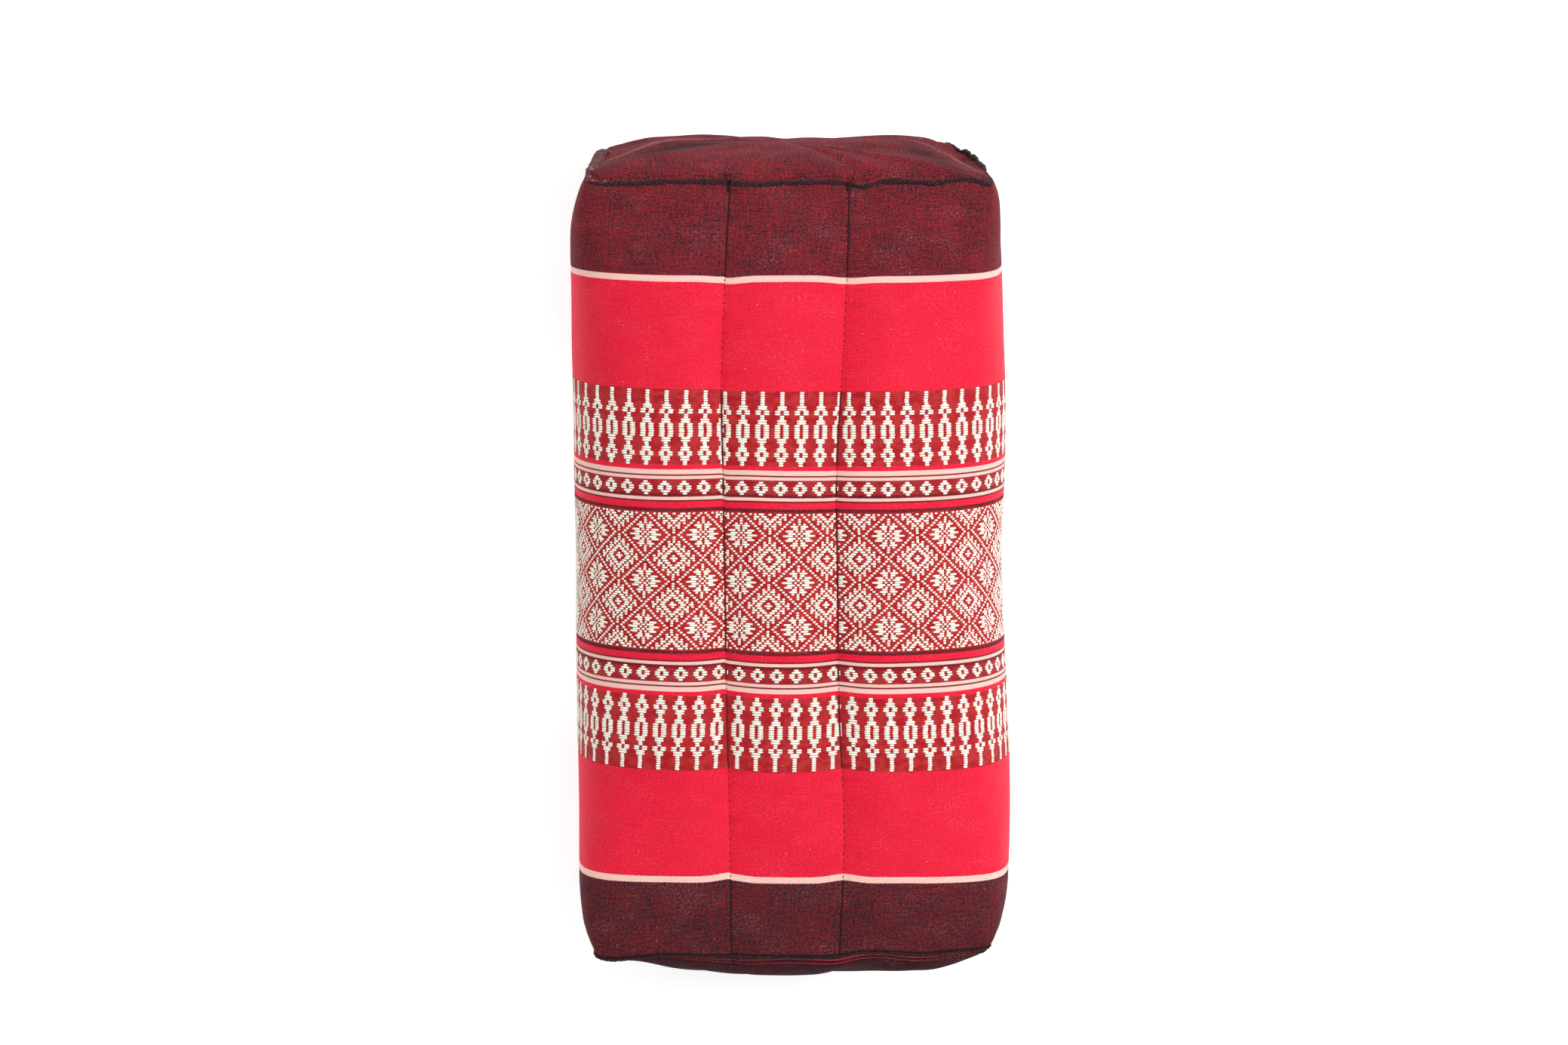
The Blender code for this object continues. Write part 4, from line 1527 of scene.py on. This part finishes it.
def end_cloth(name, foot_shade, highlight_colour):
    """Plain shot cloth of an end panel, with highlights painted on its folds and shade painted in its
    creases.
    """
    cloth = ClothShader(name)
    highlighted = cloth.math("MAXIMUM", cloth.kept, 0.0)
    shaded = cloth.math("MAXIMUM", cloth.kept * -1.0, 0.0)
    colour = cloth.mix(highlighted, shot_colour(cloth, foot_shade, PANEL_GRAIN), highlight_colour)
    return cloth.finish(
        colour=cloth.mix(shaded, colour, PANEL_SHADE), roughness=0.9, normal=cloth.bump(cloth.weave, BUMP),
        sheen=0.02, sheen_roughness=0.3, sheen_tint=(0.8, 0.7, 0.75), specular=0.05,
    )


def float_yarn():
    """Thick soft cream yarn."""
    shader = Shader("float_yarn")
    fibres = shader.noise(shader.object_place(), scale=FLOAT_FIBRES, detail=1.0)
    tone = FLOAT_SHADE_SHARE * shader.attribute("shade") + FLOAT_FIBRE_SHARE * fibres
    colour = shader.mix(tone, FLOAT_CREAM, FLOAT_SHADE)
    return shader.finish(colour=colour, roughness=0.75, sheen=0.2, specular=0.2)


def seam_yarn():
    """Woolly black yarn of the seams and channel stitches, with bare cloth where a seam shows it, and
    highlights painted on that cloth.
    """
    shader = Shader("seam_yarn")
    place = shader.object_place()
    fuzz = shader.noise(place, scale=SEAM_FUZZ, detail=3.0)
    coarse = shader.noise(place, scale=SEAM_COARSE)
    yarn = shader.mix(shader.step(fuzz, *FUZZ_SHOWS), YARN_BLACK, YARN_FUZZ)
    cloth = shader.mix(shader.step(coarse, *HIGHLIGHT_SHOWS), BARE_CLOTH, BARE_CLOTH_HIGHLIGHT)
    bare = shader.attribute("bare") * shader.step(coarse, *BARE_SHOWS)
    return shader.finish(
        colour=shader.mix(bare, yarn, cloth), roughness=0.9, normal=shader.bump(fuzz, BUMP_YARN), sheen=0.05,
        specular=0.1,
    )


# The camera looks down at the face from beyond the head end.
PHOTO_WIDTH = 2078
FOCAL_PIXELS = 7364
SENSOR = 36.0
CAMERA_PLACE = np.array((-2.8, 380.6, 2370.0))
CAMERA_TILT = 9.12
CAMERA_REACH = 20.0

# Soft square lights, aimed at the middle of the cushion, and a glowing floor that stays white.
LIGHTS = table(
    "name place size power",
    ("key", (930.0, 600.0, 1500.0), 700.0, 24.8),
    ("overhead", (-100.0, 650.0, 2700.0), 1700.0, 14.0),
    ("fill", (-1900.0, 200.0, 1000.0), 1200.0, 6.2),
)
LIGHTS_AIM = (0.0, 0.0, 60.0)
WORLD_LIGHT = 0.37
FLOOR_REACH = 4000.0
FLOOR_GLOW = 0.56
FLOOR_COLOUR = (0.95, 0.95, 0.95)


def add_camera():
    data = bpy.data.cameras.new("camera")
    data.sensor_width = SENSOR
    data.lens = SENSOR * FOCAL_PIXELS / PHOTO_WIDTH
    data.clip_end = CAMERA_REACH
    camera = add_to_scene("camera", data)
    camera.location = (CAMERA_PLACE - ORIGIN) * MM
    camera.rotation_euler = (-math.radians(CAMERA_TILT), 0.0, 0.0)
    bpy.context.scene.camera = camera


def add_light(light):
    data = bpy.data.lights.new(light.name, "AREA")
    data.shape = "SQUARE"
    data.size = light.size * MM
    data.energy = light.power
    lamp = add_to_scene(light.name, data)
    lamp.location = Vector(light.place) * MM
    lamp.rotation_euler = (Vector(LIGHTS_AIM) - Vector(light.place)).to_track_quat("-Z", "Y").to_euler()


def add_floor():
    far = FLOOR_REACH
    mesh = new_mesh("floor", [(-far, -far, 0), (far, -far, 0), (far, far, 0), (-far, far, 0)], [(0, 1, 2, 3)])
    mesh.materials.append(Shader("floor").finish(
        colour=FLOOR_COLOUR, roughness=0.9, specular=0.1, glow_colour=WHITE, glow=FLOOR_GLOW,
    ))
    add_to_scene("floor", mesh)


def add_world():
    world = bpy.data.worlds.new("studio")
    world.use_nodes = True
    background = world.node_tree.nodes["Background"]
    background.inputs["Color"].default_value = (*WHITE, 1.0)
    background.inputs["Strength"].default_value = WORLD_LIGHT
    bpy.context.scene.world = world


def main():
    bpy.context.scene.view_settings.view_transform = "Standard"
    add_camera()
    add_floor()
    add_world()
    for light in LIGHTS:
        add_light(light)

    wrap = stuffed_wrap()
    face, back = cloth_strips(wrap)
    cloth = patterned_cloth()
    for name, strips in (("wrap_face", face), ("wrap_back", back)):
        piece = wrap_piece(name, wrap, strips, cloth)
        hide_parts("filled_body")
    yarn = float_yarn()
    charts = {
        "spire": striped_chart(SPIRE_ROWS, SPIRE_OUTER_ROW, SPIRE_PERIOD),
        "dot": striped_chart(DOT_ROWS, DOT_OUTER_ROW, SPIRE_PERIOD),
        "lattice": lattice_chart(),
    }
    for side, strips in (("face", face), ("back", back)):
        for motif, chart in charts.items():
            floats_piece(f"{motif}_floats_{side}", wrap, strips, chart, yarn)
    black = seam_yarn()
    # Each end panel's painted shade, and the colour of the highlights painted on its folds and ridge.
    for name, end, foot_shade, highlighted in (("head", 1, 0.0, HIGHLIGHT_GREY), ("foot", -1, FOOT_PANEL_SHADE, HIGHLIGHT_RED)):
        piece_name = f"{name}_end_cloth"
        piece = end_piece(piece_name, wrap, end, end_cloth(piece_name, foot_shade, highlighted))
        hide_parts(f"{name}_end_panel")
        seam_piece(f"{name}_overcast_seam", wrap, end, black)
    stitches_piece("face_stitches", wrap, (LINE_LEFT, LINE_RIGHT), black)
    stitches_piece("back_stitches", wrap, (BACK_LEFT, BACK_RIGHT), black)
    tails_piece("thread_tails", wrap, black)


main()
